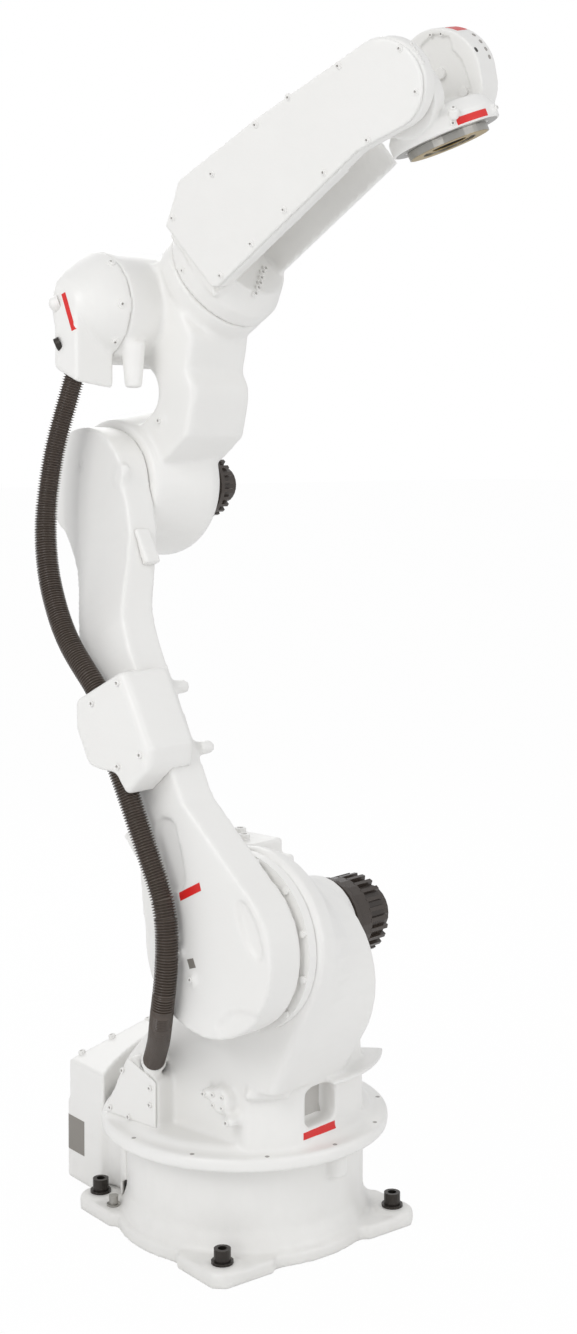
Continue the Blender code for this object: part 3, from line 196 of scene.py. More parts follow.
def add_floor():
    """A wide pale sheet that keeps the arm's shadow and runs into the white."""
    mesh = bpy.data.meshes.new("floor")
    half = FLOOR_HALF
    corners = [(-half, -half, 0), (half, -half, 0), (half, half, 0), (-half, half, 0)]
    mesh.from_pydata(corners, [], [(0, 1, 2, 3)])
    mesh.transform(Matrix.Translation((0, 0, -FLOOR_DROP)))
    floor = bpy.data.objects.new("floor", mesh)
    bpy.context.scene.collection.objects.link(floor)
    paint = bpy.data.materials.new("floor_white")
    paint.use_nodes = True
    tree = paint.node_tree
    body = tree.nodes["Principled BSDF"]
    body.inputs["Base Color"].default_value = (FLOOR_GREY, FLOOR_GREY, FLOOR_GREY, 1)
    body.inputs["Roughness"].default_value = FLOOR_ROUGHNESS
    glow = tree.nodes.new("ShaderNodeEmission")
    camera_ray = tree.nodes.new("ShaderNodeLightPath").outputs["Is Camera Ray"]
    mix = tree.nodes.new("ShaderNodeMixShader")
    tree.links.new(math_node(tree, "MULTIPLY", camera_ray, FLOOR_GLOW), mix.inputs["Fac"])
    tree.links.new(body.outputs[0], mix.inputs[1])
    tree.links.new(glow.outputs[0], mix.inputs[2])
    tree.links.new(mix.outputs[0], tree.nodes["Material Output"].inputs["Surface"])
    mesh.materials.append(paint)


add_world()
for lamp_name, values in LAMPS.items():
    add_lamp(lamp_name, *values)
add_floor()
bpy.context.scene.view_settings.view_transform = "Standard"
print("lamps:", list(LAMPS))

# %% [markdown]
# Each joint turns its own set of axes. Writing the chain of axes down once
# lets every later size be given where a fitter would measure it: from the
# axis of the joint that carries the piece.

# %% The chain of axes


def turned(axis, degrees):
    return Matrix.Rotation(math.radians(degrees), 4, axis)


# Each joint's place on the one before it, and how far it is turned at rest
SWIVEL = turned("Z", 9.9)
LOWER = SWIVEL @ Matrix.Translation((0.150, 0, 0.505)) @ turned("Y", -27.45)
ELBOW = LOWER @ Matrix.Translation((0, 0, 0.760)) @ turned("Y", -5.32)
FOREARM = ELBOW @ Matrix.Translation((0, 0, 0.200)) @ turned("X", 15.8)
WRIST = FOREARM @ Matrix.Translation((0.795, 0, 0)) @ turned("Y", 106.5)
AXES = {"base": Matrix.Identity(4), "swivel": SWIVEL, "lower_arm": LOWER, "elbow": ELBOW,
        "forearm": FOREARM, "wrist": WRIST, "tool": WRIST}
FLANGE_FACE = 0.104
print("tool point:", [round(c, 3) for c in (WRIST @ Vector((FLANGE_FACE, 0, 0)))])

# %% [markdown]
# Paint on a casting is never one flat colour. Two shared shader groups carry
# the effects that every finish here uses. "Cast grain" gives the pebbled
# height of sand-cast iron under paint, with broad clouds for uneven paint.
# "Floor dust" gives a mask that grows towards the floor, where dirt settles.

# %% Shared shader groups
PEBBLE_SHARE = 0.6


def new_group(name, inputs, outputs):
    group = bpy.data.node_groups.new(name, "ShaderNodeTree")
    for label, value in inputs:
        socket = group.interface.new_socket(
            label, in_out="INPUT", socket_type="NodeSocketFloat")
        socket.default_value = value
    for label in outputs:
        group.interface.new_socket(label, in_out="OUTPUT", socket_type="NodeSocketFloat")
    return group, group.nodes.new("NodeGroupInput"), group.nodes.new("NodeGroupOutput")


def noise_node(group, place, scale, detail):
    node = group.nodes.new("ShaderNodeTexNoise")
    node.inputs["Detail"].default_value = detail
    group.links.new(place, node.inputs["Vector"])
    group.links.new(scale, node.inputs["Scale"])
    return node.outputs["Fac"]


def cast_grain_group():
    group, given, out = new_group(
        "cast grain", [("Pebble", 420), ("Cloud", 5)], ["Height", "Cloud"])
    place = group.nodes.new("ShaderNodeTexCoord").outputs["Object"]
    pebbles = group.nodes.new("ShaderNodeTexVoronoi")
    pebbles.feature = "SMOOTH_F1"
    group.links.new(place, pebbles.inputs["Vector"])
    group.links.new(given.outputs["Pebble"], pebbles.inputs["Scale"])
    coarse = math_node(group, "MULTIPLY", pebbles.outputs["Distance"], PEBBLE_SHARE)
    fine = noise_node(group, place, given.outputs["Pebble"], 3)
    group.links.new(math_node(group, "ADD", coarse, fine), out.inputs["Height"])
    group.links.new(noise_node(group, place, given.outputs["Cloud"], 4), out.inputs["Cloud"])
    return group


def floor_dust_group():
    group, given, out = new_group("floor dust", [("Top", 0.16), ("Grain", 30)], ["Mask"])
    place = group.nodes.new("ShaderNodeTexCoord").outputs["Object"]
    split = group.nodes.new("ShaderNodeSeparateXYZ")
    group.links.new(place, split.inputs[0])
    level = math_node(group, "DIVIDE", split.outputs["Z"], given.outputs["Top"])
    fade = math_node(group, "MAXIMUM", math_node(group, "SUBTRACT", 1, level), 0)
    specks = noise_node(group, place, given.outputs["Grain"], 5)
    group.links.new(math_node(group, "MULTIPLY", fade, specks), out.inputs["Mask"])
    return group


CAST_GRAIN = cast_grain_group()
FLOOR_DUST = floor_dust_group()
print("groups:", CAST_GRAIN.name, FLOOR_DUST.name)

# %% [markdown]
# A finish is a table row: two close colours that the clouds mix, a range of
# roughness, and the depth and size of the grain. The same builder makes the
# warm white paint, the black of motors and bolts, rubber and machined metal.

# %% Finishes
FINISHES = {
    "paint": dict(a=(0.80, 0.79, 0.765), b=(0.855, 0.85, 0.83), rough=(0.31, 0.43),
                  grain=0.20, pebble=330, depth=0.0006, dust=0.30),
    "smooth_paint": dict(a=(0.81, 0.80, 0.775), b=(0.86, 0.855, 0.835), rough=(0.28, 0.40),
                         grain=0.06, pebble=520, depth=0.0003),
    # Painted shade for the insides of screw sockets and holes; the wrist dome's small screws are this dark
    # grey too
    "grey_shadow": dict(a=(0.30, 0.285, 0.27), b=(0.42, 0.40, 0.38), rough=(0.6, 0.75),
                        grain=0.2, pebble=300, depth=0.0005),
    # Painted shade: a grey for the dark inside of the swivel's window
    "window_painted_shade": dict(a=(0.48, 0.465, 0.44), b=(0.60, 0.585, 0.56), rough=(0.5, 0.65),
                         grain=0.1, pebble=300, depth=0.0004),
    "motor_black": dict(a=(0.034, 0.026, 0.021), b=(0.062, 0.048, 0.039), rough=(0.20, 0.34),
                        grain=0.14, pebble=700, depth=0.0004),
    "bolt_black": dict(a=(0.022, 0.019, 0.017), b=(0.055, 0.048, 0.042), rough=(0.26, 0.42),
                       grain=0.10, pebble=900, depth=0.0002, metal=0.6),
    "steel": dict(a=(0.34, 0.33, 0.31), b=(0.48, 0.47, 0.44), rough=(0.22, 0.36),
                  grain=0.08, pebble=1200, depth=0.0001, metal=1.0),
    "rubber": dict(a=(0.058, 0.044, 0.035), b=(0.098, 0.076, 0.062), rough=(0.14, 0.20),
                   grain=0.05, pebble=600, depth=0.0002),
    "red_strip": dict(a=(0.62, 0.012, 0.012), b=(0.74, 0.022, 0.018), rough=(0.30, 0.38),
                      grain=0.03, pebble=500, depth=0.0001),
    "grey_plate": dict(a=(0.20, 0.185, 0.165), b=(0.34, 0.32, 0.29), rough=(0.34, 0.5),
                       grain=0.10, pebble=900, depth=0.0001, metal=0.3),
    "gold_ring": dict(a=(0.33, 0.22, 0.05), b=(0.46, 0.33, 0.09), rough=(0.24, 0.36),
                      grain=0.06, pebble=900, depth=0.0001, metal=0.9),
}
DUST_COLOUR = (0.52, 0.50, 0.46)


def group_node(tree, group):
    node = tree.nodes.new("ShaderNodeGroup")
    node.node_tree = group
    return node


def colour_mix(tree, share, first, second):
    """A mix of two colours, each a plain one or another node's output."""
    mix = tree.nodes.new("ShaderNodeMix")
    mix.data_type = "RGBA"
    tree.links.new(share, next(s for s in mix.inputs if s.name == "Factor" and s.type == "VALUE"))
    for slot, value in zip((s for s in mix.inputs if s.type == "RGBA"), (first, second)):
        if isinstance(value, tuple):
            slot.default_value = (*value, 1)
        else:
            tree.links.new(value, slot)
    return next(s for s in mix.outputs if s.type == "RGBA")


def make_finish(name, a, b, rough, grain, pebble, depth, metal=0.0, dust=0.0):
    finish = bpy.data.materials.new(name)
    finish.use_nodes = True
    tree = finish.node_tree
    body = tree.nodes["Principled BSDF"]
    body.inputs["Metallic"].default_value = metal
    cast = group_node(tree, CAST_GRAIN)
    cast.inputs["Pebble"].default_value = pebble
    colour = colour_mix(tree, cast.outputs["Cloud"], a, b)
    if dust:
        soil = group_node(tree, FLOOR_DUST)
        amount = math_node(tree, "MULTIPLY", soil.outputs["Mask"], dust)
        colour = colour_mix(tree, amount, colour, DUST_COLOUR)
    tree.links.new(colour, body.inputs["Base Color"])
    spread = tree.nodes.new("ShaderNodeMapRange")
    spread.inputs["To Min"].default_value = rough[0]
    spread.inputs["To Max"].default_value = rough[1]
    tree.links.new(cast.outputs["Cloud"], spread.inputs["Value"])
    tree.links.new(spread.outputs["Result"], body.inputs["Roughness"])
    bump = tree.nodes.new("ShaderNodeBump")
    bump.inputs["Strength"].default_value = grain
    bump.inputs["Distance"].default_value = depth
    tree.links.new(cast.outputs["Height"], bump.inputs["Height"])
    tree.links.new(bump.outputs["Normal"], body.inputs["Normal"])
    return finish


FINISH = {name: make_finish(name, **values) for name, values in FINISHES.items()}
print("finishes:", len(FINISH))

# %% [markdown]
# Every piece made here ends the same way: a plain mesh in its finish, at the
# origin, riding on one body. A few helpers do that, so that each later step
# only has to say what is special about its own piece.

# %% Pieces and their bodies
WELD_GAP = 0.00002


def place_piece(piece, body):
    """Give a finished mesh its body."""
    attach(piece, body)
    return piece


def new_piece(name, mesh, finish=None):
    piece = bpy.data.objects.new(name, mesh)
    bpy.context.scene.collection.objects.link(piece)
    if finish:
        mesh.materials.clear()
        mesh.materials.append(FINISH[finish])
    return piece


def baked_piece(name, rough, finish):
    """The evaluated mesh of an object as a piece of its own, with the object gone."""
    bpy.context.view_layer.update()
    graph = bpy.context.evaluated_depsgraph_get()
    mesh = bpy.data.meshes.new_from_object(rough.evaluated_get(graph))
    mesh.transform(rough.matrix_world)
    old = rough.data
    bpy.data.objects.remove(rough)
    if old.users == 0 and isinstance(old, bpy.types.Mesh):
        bpy.data.meshes.remove(old)
    mesh.name = name
    return new_piece(name, mesh, finish)


def welded_copy(node):
    work = bmesh.new()
    work.from_mesh(NODES[node].data)
    bmesh.ops.remove_doubles(work, verts=work.verts, dist=WELD_GAP)
    mesh = bpy.data.meshes.new(node + "_copy")
    work.to_mesh(mesh)
    work.free()
    return mesh


# %% [markdown]
# Lugs, bosses and pockets are small solids: an outline pushed out along Y, or
# a round bar between two points. They could be modelled by hand, but a few
# corners say all there is to know about them.

# %% Small solids
ROD_SIDES = 28


def closed(work, axes):
    """A working mesh as a solid in its place, with every face outwards."""
    bmesh.ops.recalc_face_normals(work, faces=work.faces)
    work.transform(axes)
    mesh = bpy.data.meshes.new("solid")
    work.to_mesh(mesh)
    work.free()
    return mesh


def prism(axes, outline, near, far):
    """A solid with an outline in X and Z, from one Y to another."""
    work = bmesh.new()
    rings = [[work.verts.new((x, y, z)) for x, z in outline] for y in (near, far)]
    work.faces.new(rings[0])
    work.faces.new(rings[1][::-1])
    for i in range(len(outline)):
        j = (i + 1) % len(outline)
        work.faces.new((rings[0][j], rings[0][i], rings[1][i], rings[1][j]))
    return closed(work, axes)


def rod(axes, start, end, radius):
    """A round bar between two points."""
    start, end = Vector(start), Vector(end)
    work = bmesh.new()
    bmesh.ops.create_cone(work, cap_ends=True, segments=ROD_SIDES, radius1=radius,
                          radius2=radius, depth=(end - start).length)
    aim = (end - start).to_track_quat("Z", "Y").to_matrix().to_4x4()
    work.transform(Matrix.Translation((start + end) / 2) @ aim)
    return closed(work, axes)


def block(axes, low, high):
    outline = [(low[0], low[2]), (high[0], low[2]), (high[0], high[2]), (low[0], high[2])]
    return prism(axes, outline, low[1], high[1])


def on_circle(radius, angle, centre=(0, 0)):
    return centre[0] + radius * math.cos(angle), centre[1] + radius * math.sin(angle)


def stadium(foot, top, radius, steps=10):
    """A slot's outline round the line between two points."""
    lean = math.atan2(top[1] - foot[1], top[0] - foot[0])
    outline = []
    for centre, start in ((top, lean - math.pi / 2), (foot, lean + math.pi / 2)):
        for k in range(steps + 1):
            outline.append(on_circle(radius, start + math.pi * k / steps, centre))
    return outline


def lens(centre, half_width, half_height, steps=10):
    """Two shallow arcs that meet above and below."""
    outline = []
    for start in (-math.pi / 2, math.pi / 2):
        for k in range(steps):
            angle = start + math.pi * k / steps
            outline.append((centre[0] + half_width * math.cos(angle),
                            centre[1] + half_height * math.sin(angle)))
    return outline


print("corners of a slot:", len(stadium((0, 0), (0, 1), 1)), "of a lens:", len(lens((0, 0), 1, 1)))

# %% [markdown]
# The foundry casts lugs, bosses and bars in one piece with each body. Here
# they are solids that cross the casting's own, and the grid of cells that
# comes later joins them without a seam.

# %% Lugs and bosses
FUSED = {
    "lower_arm_casting": [
        block(LOWER @ turned("Y", -16), (-0.028, -0.2438, 0.104), (0.008, -0.225, 0.226)),
        rod(LOWER, (-0.044, -0.2475, -0.028), (-0.044, -0.235, -0.028), 0.008),
        rod(LOWER, (-0.043, -0.250, 0.066), (-0.043, -0.225, 0.066), 0.010),
        rod(LOWER, (-0.048, -0.250, 0.041), (-0.048, -0.225, 0.041), 0.010),
        rod(LOWER, (-0.051, -0.250, 0.016), (-0.051, -0.225, 0.016), 0.010),
        rod(LOWER, (0.050, -0.176, 0.388), (0.050, -0.150, 0.388), 0.011),
        rod(LOWER, (0.058, -0.176, 0.286), (0.058, -0.150, 0.286), 0.011),
        prism(LOWER, stadium((0.076, 0.728), (0.088, 0.742), 0.010), -0.1665, -0.150),
    ],
    "elbow_housing": [
        rod(ELBOW, (0.140, -0.0935, 0.031), (0.140, -0.075, 0.031), 0.010),
    ],
    "swivel_casting": [
        rod(SWIVEL, (-0.0349, -0.1706, 0.2829), (-0.0287, -0.1752, 0.2894), 0.0205),
        rod(SWIVEL, (0.146, -0.154, 0.270), (0.190, -0.104, 0.270), 0.009),
        rod(SWIVEL, (0.128, -0.176, 0.229), (0.128, -0.150, 0.229), 0.009),
        rod(SWIVEL, (0.080, -0.176, 0.262), (0.080, -0.150, 0.262), 0.008),
        prism(SWIVEL, [(0.060, 0.372), (0.066, 0.345), (0.096, 0.345), (0.102, 0.372)],
              -0.172, -0.140),
    ],
    "base_casting": [
        rod(AXES["base"], (0.190, 0.032, 0.116), (0.190, 0.032, 0.1510), 0.018),
    ],
    "wrist_casting": [
        rod(WRIST, (0.066, -0.068, 0.062), (0.078, -0.062, 0.056), 0.0075),
        rod(WRIST, (0.082, 0.010, 0.074), (0.082, 0.010, 0.086), 0.0070),
    ],
}
print("cast on:", {node: len(solids) for node, solids in FUSED.items()})

# %% [markdown]
# Pockets, shallow recesses and rounded corners are cut out of the faces with
# solids of the same kind, before the grid of cells softens their rims.

# %% Pockets and recesses
CORNER_CENTRE = (0.375, -0.029)
CORNER_FOOT = 0.030
CORNER_WIDTH = (-0.130, -0.086)


def corner(radius):
    """What a rounded corner takes off the square foot of the belt side."""
    x, z = CORNER_CENTRE
    arc = [on_circle(radius, math.radians(a), CORNER_CENTRE) for a in range(270, 179, -9)]
    foot = [(x - CORNER_FOOT, z - CORNER_FOOT), (x, z - CORNER_FOOT)]
    return prism(FOREARM, foot + arc + [(x - CORNER_FOOT, z)], *CORNER_WIDTH)


CARVED = {
    "belt_cover": [corner(0.014)],
    "forearm_casting": [corner(0.016)],
    "lower_arm_casting": [
        prism(LOWER, stadium((-0.012, 0.120), (0.001, 0.182), 0.023), -0.270, -0.2345),
        prism(LOWER, lens((0.099, 0.001), 0.015, 0.044), -0.270, -0.2368),
        prism(LOWER, [(-0.028, -0.104), (-0.012, -0.096), (0.008, -0.092), (0.030, -0.097),
                      (0.056, -0.110), (0.050, -0.150), (-0.030, -0.150)], -0.270, -0.2388),
        prism(LOWER, [(0.000, 0.789), (0.007, 0.779), (0.015, 0.790), (0.008, 0.801)],
              -0.190, -0.1590),
    ],
    "elbow_housing": [rod(ELBOW, (0.140, -0.100, 0.031), (0.140, -0.088, 0.031), 0.0055)],
    "wrist_casting": [
        prism(WRIST, [(-0.060, 0.016), (-0.045, 0.040), (-0.026, 0.037), (-0.006, 0.045),
                      (0.020, 0.044), (0.044, 0.041), (0.041, 0.020), (0.037, -0.006),
                      (0.000, -0.030), (-0.052, -0.010)], 0.036, 0.0500),
    ],
    "stop_block": [
        rod(SWIVEL, (0.082, -0.150, 0.622), (0.082, -0.134, 0.622), 0.0065),
        rod(SWIVEL, (0.096, -0.150, 0.606), (0.096, -0.136, 0.606), 0.0035),
    ],
}
print("carved:", {node: len(solids) for node, solids in CARVED.items()})

# %% [markdown]
# A sand casting has no sharp corner on it: the sand can't hold one. The
# solids are copied, joined into one watertight grid of small cells, and then
# smoothed, so that every inside and outside corner turns into a soft fillet.
# The flat and round faces between the corners stay where they were.

# %% Casting skins
SMOOTHING_SHARE = 0.5
FEWEST_FACES = 500


def fused_mesh(node):
    """The node's welded copy and the bosses on it, as one mesh of crossing shells."""
    work = bmesh.new()
    base = welded_copy(node)
    for mesh in [base] + FUSED.get(node, []):
        work.from_mesh(mesh)
    joined = bpy.data.meshes.new(node + "_joined")
    work.to_mesh(joined)
    work.free()
    return joined


def cast_skin(node, body, cell, rounds):
    """A casting's skin: fused, carved, cut into small cells and smoothed."""
    rough = new_piece(node + "_rough", fused_mesh(node))
    cutters = [new_piece("cutter", mesh) for mesh in CARVED.get(node, [])]
    for cutter in cutters:
        carve = rough.modifiers.new("carve", "BOOLEAN")
        carve.operation = "DIFFERENCE"
        carve.solver = "EXACT"
        carve.use_self = True
        carve.object = cutter
    sand = rough.modifiers.new("sand", "REMESH")
    sand.mode = "VOXEL"
    sand.voxel_size = cell
    sand.use_smooth_shade = True
    fettle = rough.modifiers.new("fettle", "SMOOTH")
    fettle.factor = SMOOTHING_SHARE
    fettle.iterations = rounds
    skin = baked_piece(node + "_skin", rough, "paint")
    for cutter in cutters:
        bpy.data.objects.remove(cutter)
    if len(skin.data.polygons) < FEWEST_FACES:
        raise RuntimeError("the skin of " + node + " came out empty")
    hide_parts(node)
    return place_piece(skin, body)


# Each casting's solid, its body, the size of its cells and the rounds of smoothing
CASTINGS = [
    ("base_casting", "base", 0.0038, 5), ("connector_box", "base", 0.0036, 5),
    ("swivel_casting", "swivel", 0.0037, 6), ("wiring_end_plate", "swivel", 0.0026, 5),
    ("stop_block", "swivel", 0.0022, 4), ("lower_arm_casting", "lower_arm", 0.0032, 13),
    ("hose_clamp_cover", "lower_arm", 0.0026, 8), ("elbow_stop_bar", "lower_arm", 0.0020, 4),
    ("elbow_housing", "elbow", 0.0032, 18), ("cable_cover", "elbow", 0.0028, 8),
    ("forearm_casting", "forearm", 0.0032, 5), ("belt_cover", "forearm", 0.0026, 5),
    ("wrist_casting", "wrist", 0.0020, 4), ("wrist_dome_cover", "wrist", 0.0018, 4),
]
SKINS = {}
for casting, carrier, cell_size, smoothing in CASTINGS:
    SKINS[casting] = cast_skin(casting, carrier, cell_size, smoothing)
print("skins:", {name: len(piece.data.polygons) for name, piece in SKINS.items()})

# %% [markdown]
# Motors, bolts, sockets and the machined flange have crisp edges, so their
# solids stay as they are and only take a finish.

# %% Finishes of the solids that stay
KEPT = {
    "anchor_bolt_1": "bolt_black", "anchor_bolt_2": "bolt_black",
    "anchor_bolt_3": "bolt_black", "anchor_bolt_4": "bolt_black", "earth_bolt": "steel",
    "connector_panel": "smooth_paint", "power_socket": "bolt_black",
    "signal_socket": "bolt_black", "shoulder_reducer": "smooth_paint",
    "shoulder_motor": "motor_black", "shoulder_motor_cap": "motor_black",
    "swivel_motor": "motor_black", "swivel_motor_cap": "motor_black",
    "elbow_motor": "motor_black", "elbow_motor_cap": "motor_black",
    "tool_flange": "steel", "tool_flange_hub": "bolt_black",
}
for node, finish in KEPT.items():
    for slot in NODES[node].material_slots:
        slot.material = FINISH[finish]
print("kept solids:", len(KEPT))

# %% [markdown]
# The wiring runs up the arm in two corrugated hoses. Each is one smooth
# curve, cut by Geometry Nodes into rings a sixth of a rib apart, and a sine
# of the distance along the curve swells and narrows the rings into ribs.

# %% Hoses
RINGS_PER_RIB = 6
HOSE_SIDES = 24


def group_inputs(tree, sockets):
    for label, kind, value in sockets:
        socket = tree.interface.new_socket(label, in_out="INPUT", socket_type=kind)
        if value is not None:
            socket.default_value = value
    tree.interface.new_socket("Geometry", in_out="OUTPUT", socket_type="NodeSocketGeometry")
    return tree.nodes.new("NodeGroupInput"), tree.nodes.new("NodeGroupOutput")


def set_inputs(modifier, **values):
    """Set a modifier's inputs by their sockets' identifiers."""
    for item in modifier.node_group.interface.items_tree:
        if item.item_type == "SOCKET" and item.in_out == "INPUT" and item.name in values:
            modifier[item.identifier] = values[item.name]


def dressed_output(tree, geometry, material, out):
    """Real geometry in its finish, as the result of a tree."""
    real = tree.nodes.new("GeometryNodeRealizeInstances")
    coat = tree.nodes.new("GeometryNodeSetMaterial")
    tree.links.new(geometry, real.inputs["Geometry"])
    tree.links.new(real.outputs["Geometry"], coat.inputs["Geometry"])
    tree.links.new(material, coat.inputs["Material"])
    tree.links.new(coat.outputs["Geometry"], out.inputs["Geometry"])


def ribbed_hose_tree():
    tree = bpy.data.node_groups.new("ribbed hose", "GeometryNodeTree")
    given, out = group_inputs(tree, [
        ("Geometry", "NodeSocketGeometry", None), ("Radius", "NodeSocketFloat", 0.016),
        ("Pitch", "NodeSocketFloat", 0.003), ("Depth", "NodeSocketFloat", 0.0016),
        ("Material", "NodeSocketMaterial", None)])
    even = tree.nodes.new("GeometryNodeResampleCurve")
    even.mode = "LENGTH"
    tree.links.new(given.outputs["Geometry"], even.inputs["Curve"])
    step = math_node(tree, "DIVIDE", given.outputs["Pitch"], RINGS_PER_RIB)
    tree.links.new(step, even.inputs["Length"])
    along = tree.nodes.new("GeometryNodeSplineParameter").outputs["Length"]
    ribs = math_node(tree, "DIVIDE", along, given.outputs["Pitch"])
    wave = math_node(tree, "SINE", math_node(tree, "MULTIPLY", ribs, math.tau), 0)
    # From a whole depth inwards to none, so that Radius is the radius of a rib
    wave = math_node(tree, "SUBTRACT", math_node(tree, "MULTIPLY", wave, 0.5), 0.5)
    wave = math_node(tree, "MULTIPLY", wave, given.outputs["Depth"])
    swell = math_node(tree, "ADD", wave, given.outputs["Radius"])
    ring = tree.nodes.new("GeometryNodeCurvePrimitiveCircle")
    ring.inputs["Resolution"].default_value = HOSE_SIDES
    ring.inputs["Radius"].default_value = 1.0
    tube = tree.nodes.new("GeometryNodeCurveToMesh")
    tree.links.new(even.outputs["Curve"], tube.inputs["Curve"])
    tree.links.new(ring.outputs["Curve"], tube.inputs["Profile Curve"])
    tree.links.new(swell, tube.inputs["Scale"])
    tube.inputs["Fill Caps"].default_value = True
    dressed_output(tree, tube.outputs["Mesh"], given.outputs["Material"], out)
    return tree


def smooth_route(points, steps):
    """A rounded line through the points, each gap cut into equal steps."""
    knots = [Vector(point) for point in points]
    ends = [2 * knots[0] - knots[1]] + knots + [2 * knots[-1] - knots[-2]]
    route = []
    for i in range(1, len(ends) - 2):
        a, b, c, d = ends[i - 1:i + 3]
        for k in range(steps):
            t = k / steps
            route.append(0.5 * (2 * b + (c - a) * t + (2 * a - 5 * b + 4 * c - d) * t ** 2
                                + (3 * b - a - 3 * c + d) * t ** 3))
    route.append(knots[-1])
    return route


# The lower hose is measured from the swivel's axes, the upper from the shoulder's
LOWER_HOSE_ROUTE = (
    (-0.052, -0.158, 0.265), (-0.0232, -0.1792, 0.2952), (0.012, -0.205, 0.332),
    (0.053, -0.241, 0.370), (0.085, -0.268, 0.411), (0.094, -0.269, 0.465),
    (0.095, -0.268, 0.523), (0.087, -0.269, 0.575), (0.063, -0.271, 0.630),
    (0.036, -0.272, 0.685), (0.021, -0.272, 0.715), (-0.002, -0.272, 0.758),
    (-0.0115, -0.272, 0.776))
UPPER_HOSE_ROUTE = (
    (-0.004, -0.272, 0.398), (-0.012, -0.272, 0.432), (-0.020, -0.272, 0.457),
    (-0.034, -0.270, 0.499), (-0.043, -0.266, 0.541), (-0.046, -0.262, 0.579),
    (-0.046, -0.257, 0.618), (-0.040, -0.252, 0.658), (-0.030, -0.246, 0.697),
    (-0.016, -0.240, 0.733), (0.004, -0.235, 0.768), (0.029, -0.228, 0.808),
    (0.060, -0.222, 0.844), (0.083, -0.218, 0.868), (0.112, -0.213, 0.8985))
ROUTE_STEPS = 2
HOSE_RADIUS = 0.0178
RIB_PITCH = 0.0042
RIB_DEPTH = 0.0044
RIBBED_HOSE = ribbed_hose_tree()


def make_hose(name, node, axes, points, bodies):
    """A hose along its route, bound to the bodies at its two ends."""
    route = [axes @ point for point in smooth_route(points, ROUTE_STEPS)]
    curve = bpy.data.curves.new(name, "CURVE")
    curve.dimensions = "3D"
    spline = curve.splines.new("POLY")
    spline.points.add(len(route) - 1)
    for point, place in zip(spline.points, route):
        point.co = (*place, 1)
    line = bpy.data.objects.new(name + "_line", curve)
    bpy.context.scene.collection.objects.link(line)
    ribs = line.modifiers.new("ribs", "NODES")
    ribs.node_group = RIBBED_HOSE
    set_inputs(ribs, Radius=HOSE_RADIUS, Pitch=RIB_PITCH, Depth=RIB_DEPTH,
               Material=FINISH["rubber"])
    hose = baked_piece(name, line, "rubber")
    hose.data.shade_smooth()
    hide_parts(node)
    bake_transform(hose, *bodies, start=route[0], end=route[-1])
    length = sum((b - a).length for a, b in zip(route, route[1:]))
    print(name, "length", round(length, 3), "faces", len(hose.data.polygons))
    return hose


make_hose("ribbed_hose_lower", "hose_lower", SWIVEL, LOWER_HOSE_ROUTE, ("swivel", "lower_arm"))
make_hose("ribbed_hose_upper", "hose_upper", LOWER, UPPER_HOSE_ROUTE, ("lower_arm", "elbow"))

# %% [markdown]
# Screws are set by a small Geometry Nodes tree. A mesh of loose points
# carries, for each screw, the way it faces and its size, and the tree puts a
# head on each point. A head is a turned shape with a few dozen faces.

# %% Screw heads


def named_value(tree, name, kind):
    node = tree.nodes.new("GeometryNodeInputNamedAttribute")
    node.data_type = kind
    node.inputs["Name"].default_value = name
    return node.outputs["Attribute"]


def screw_tree():
    tree = bpy.data.node_groups.new("screw set", "GeometryNodeTree")
    given, out = group_inputs(tree, [
        ("Geometry", "NodeSocketGeometry", None), ("Head", "NodeSocketObject", None),
        ("Size", "NodeSocketFloat", 1.0), ("Material", "NodeSocketMaterial", None)])
    head = tree.nodes.new("GeometryNodeObjectInfo")
    tree.links.new(given.outputs["Head"], head.inputs["Object"])
    aim = tree.nodes.new("FunctionNodeAlignRotationToVector")
    aim.axis = "Z"
    tree.links.new(named_value(tree, "facing", "FLOAT_VECTOR"), aim.inputs["Vector"])
    span = named_value(tree, "span", "FLOAT")
    size = math_node(tree, "MULTIPLY", span, given.outputs["Size"])
    put = tree.nodes.new("GeometryNodeInstanceOnPoints")
    tree.links.new(given.outputs["Geometry"], put.inputs["Points"])
    tree.links.new(head.outputs["Geometry"], put.inputs["Instance"])
    tree.links.new(aim.outputs["Rotation"], put.inputs["Rotation"])
    tree.links.new(size, put.inputs["Scale"])
    dressed_output(tree, put.outputs["Instances"], given.outputs["Material"], out)
    return tree


def lathe(name, profile, steps=16, flats=()):
    """Rings of (radius, height), closed at both ends; rings named in flats are hexagons."""
    work = bmesh.new()
    rings = []
    for index, (radius, height) in enumerate(profile):
        ring = []
        for k in range(steps):
            angle = math.tau * k / steps
            reach = radius
            if index in flats:
                reach = radius / math.cos((angle + math.pi / 6) % (math.pi / 3) - math.pi / 6)
            ring.append(work.verts.new((*on_circle(reach, angle), height)))
        rings.append(ring)
    for low, high in zip(rings, rings[1:]):
        for k in range(steps):
            j = (k + 1) % steps
            work.faces.new((low[k], low[j], high[j], high[k]))
    work.faces.new(rings[0][::-1])
    work.faces.new(rings[-1])
    mesh = bpy.data.meshes.new(name)
    work.to_mesh(mesh)
    work.free()
    return mesh


SCREW_SET = screw_tree()
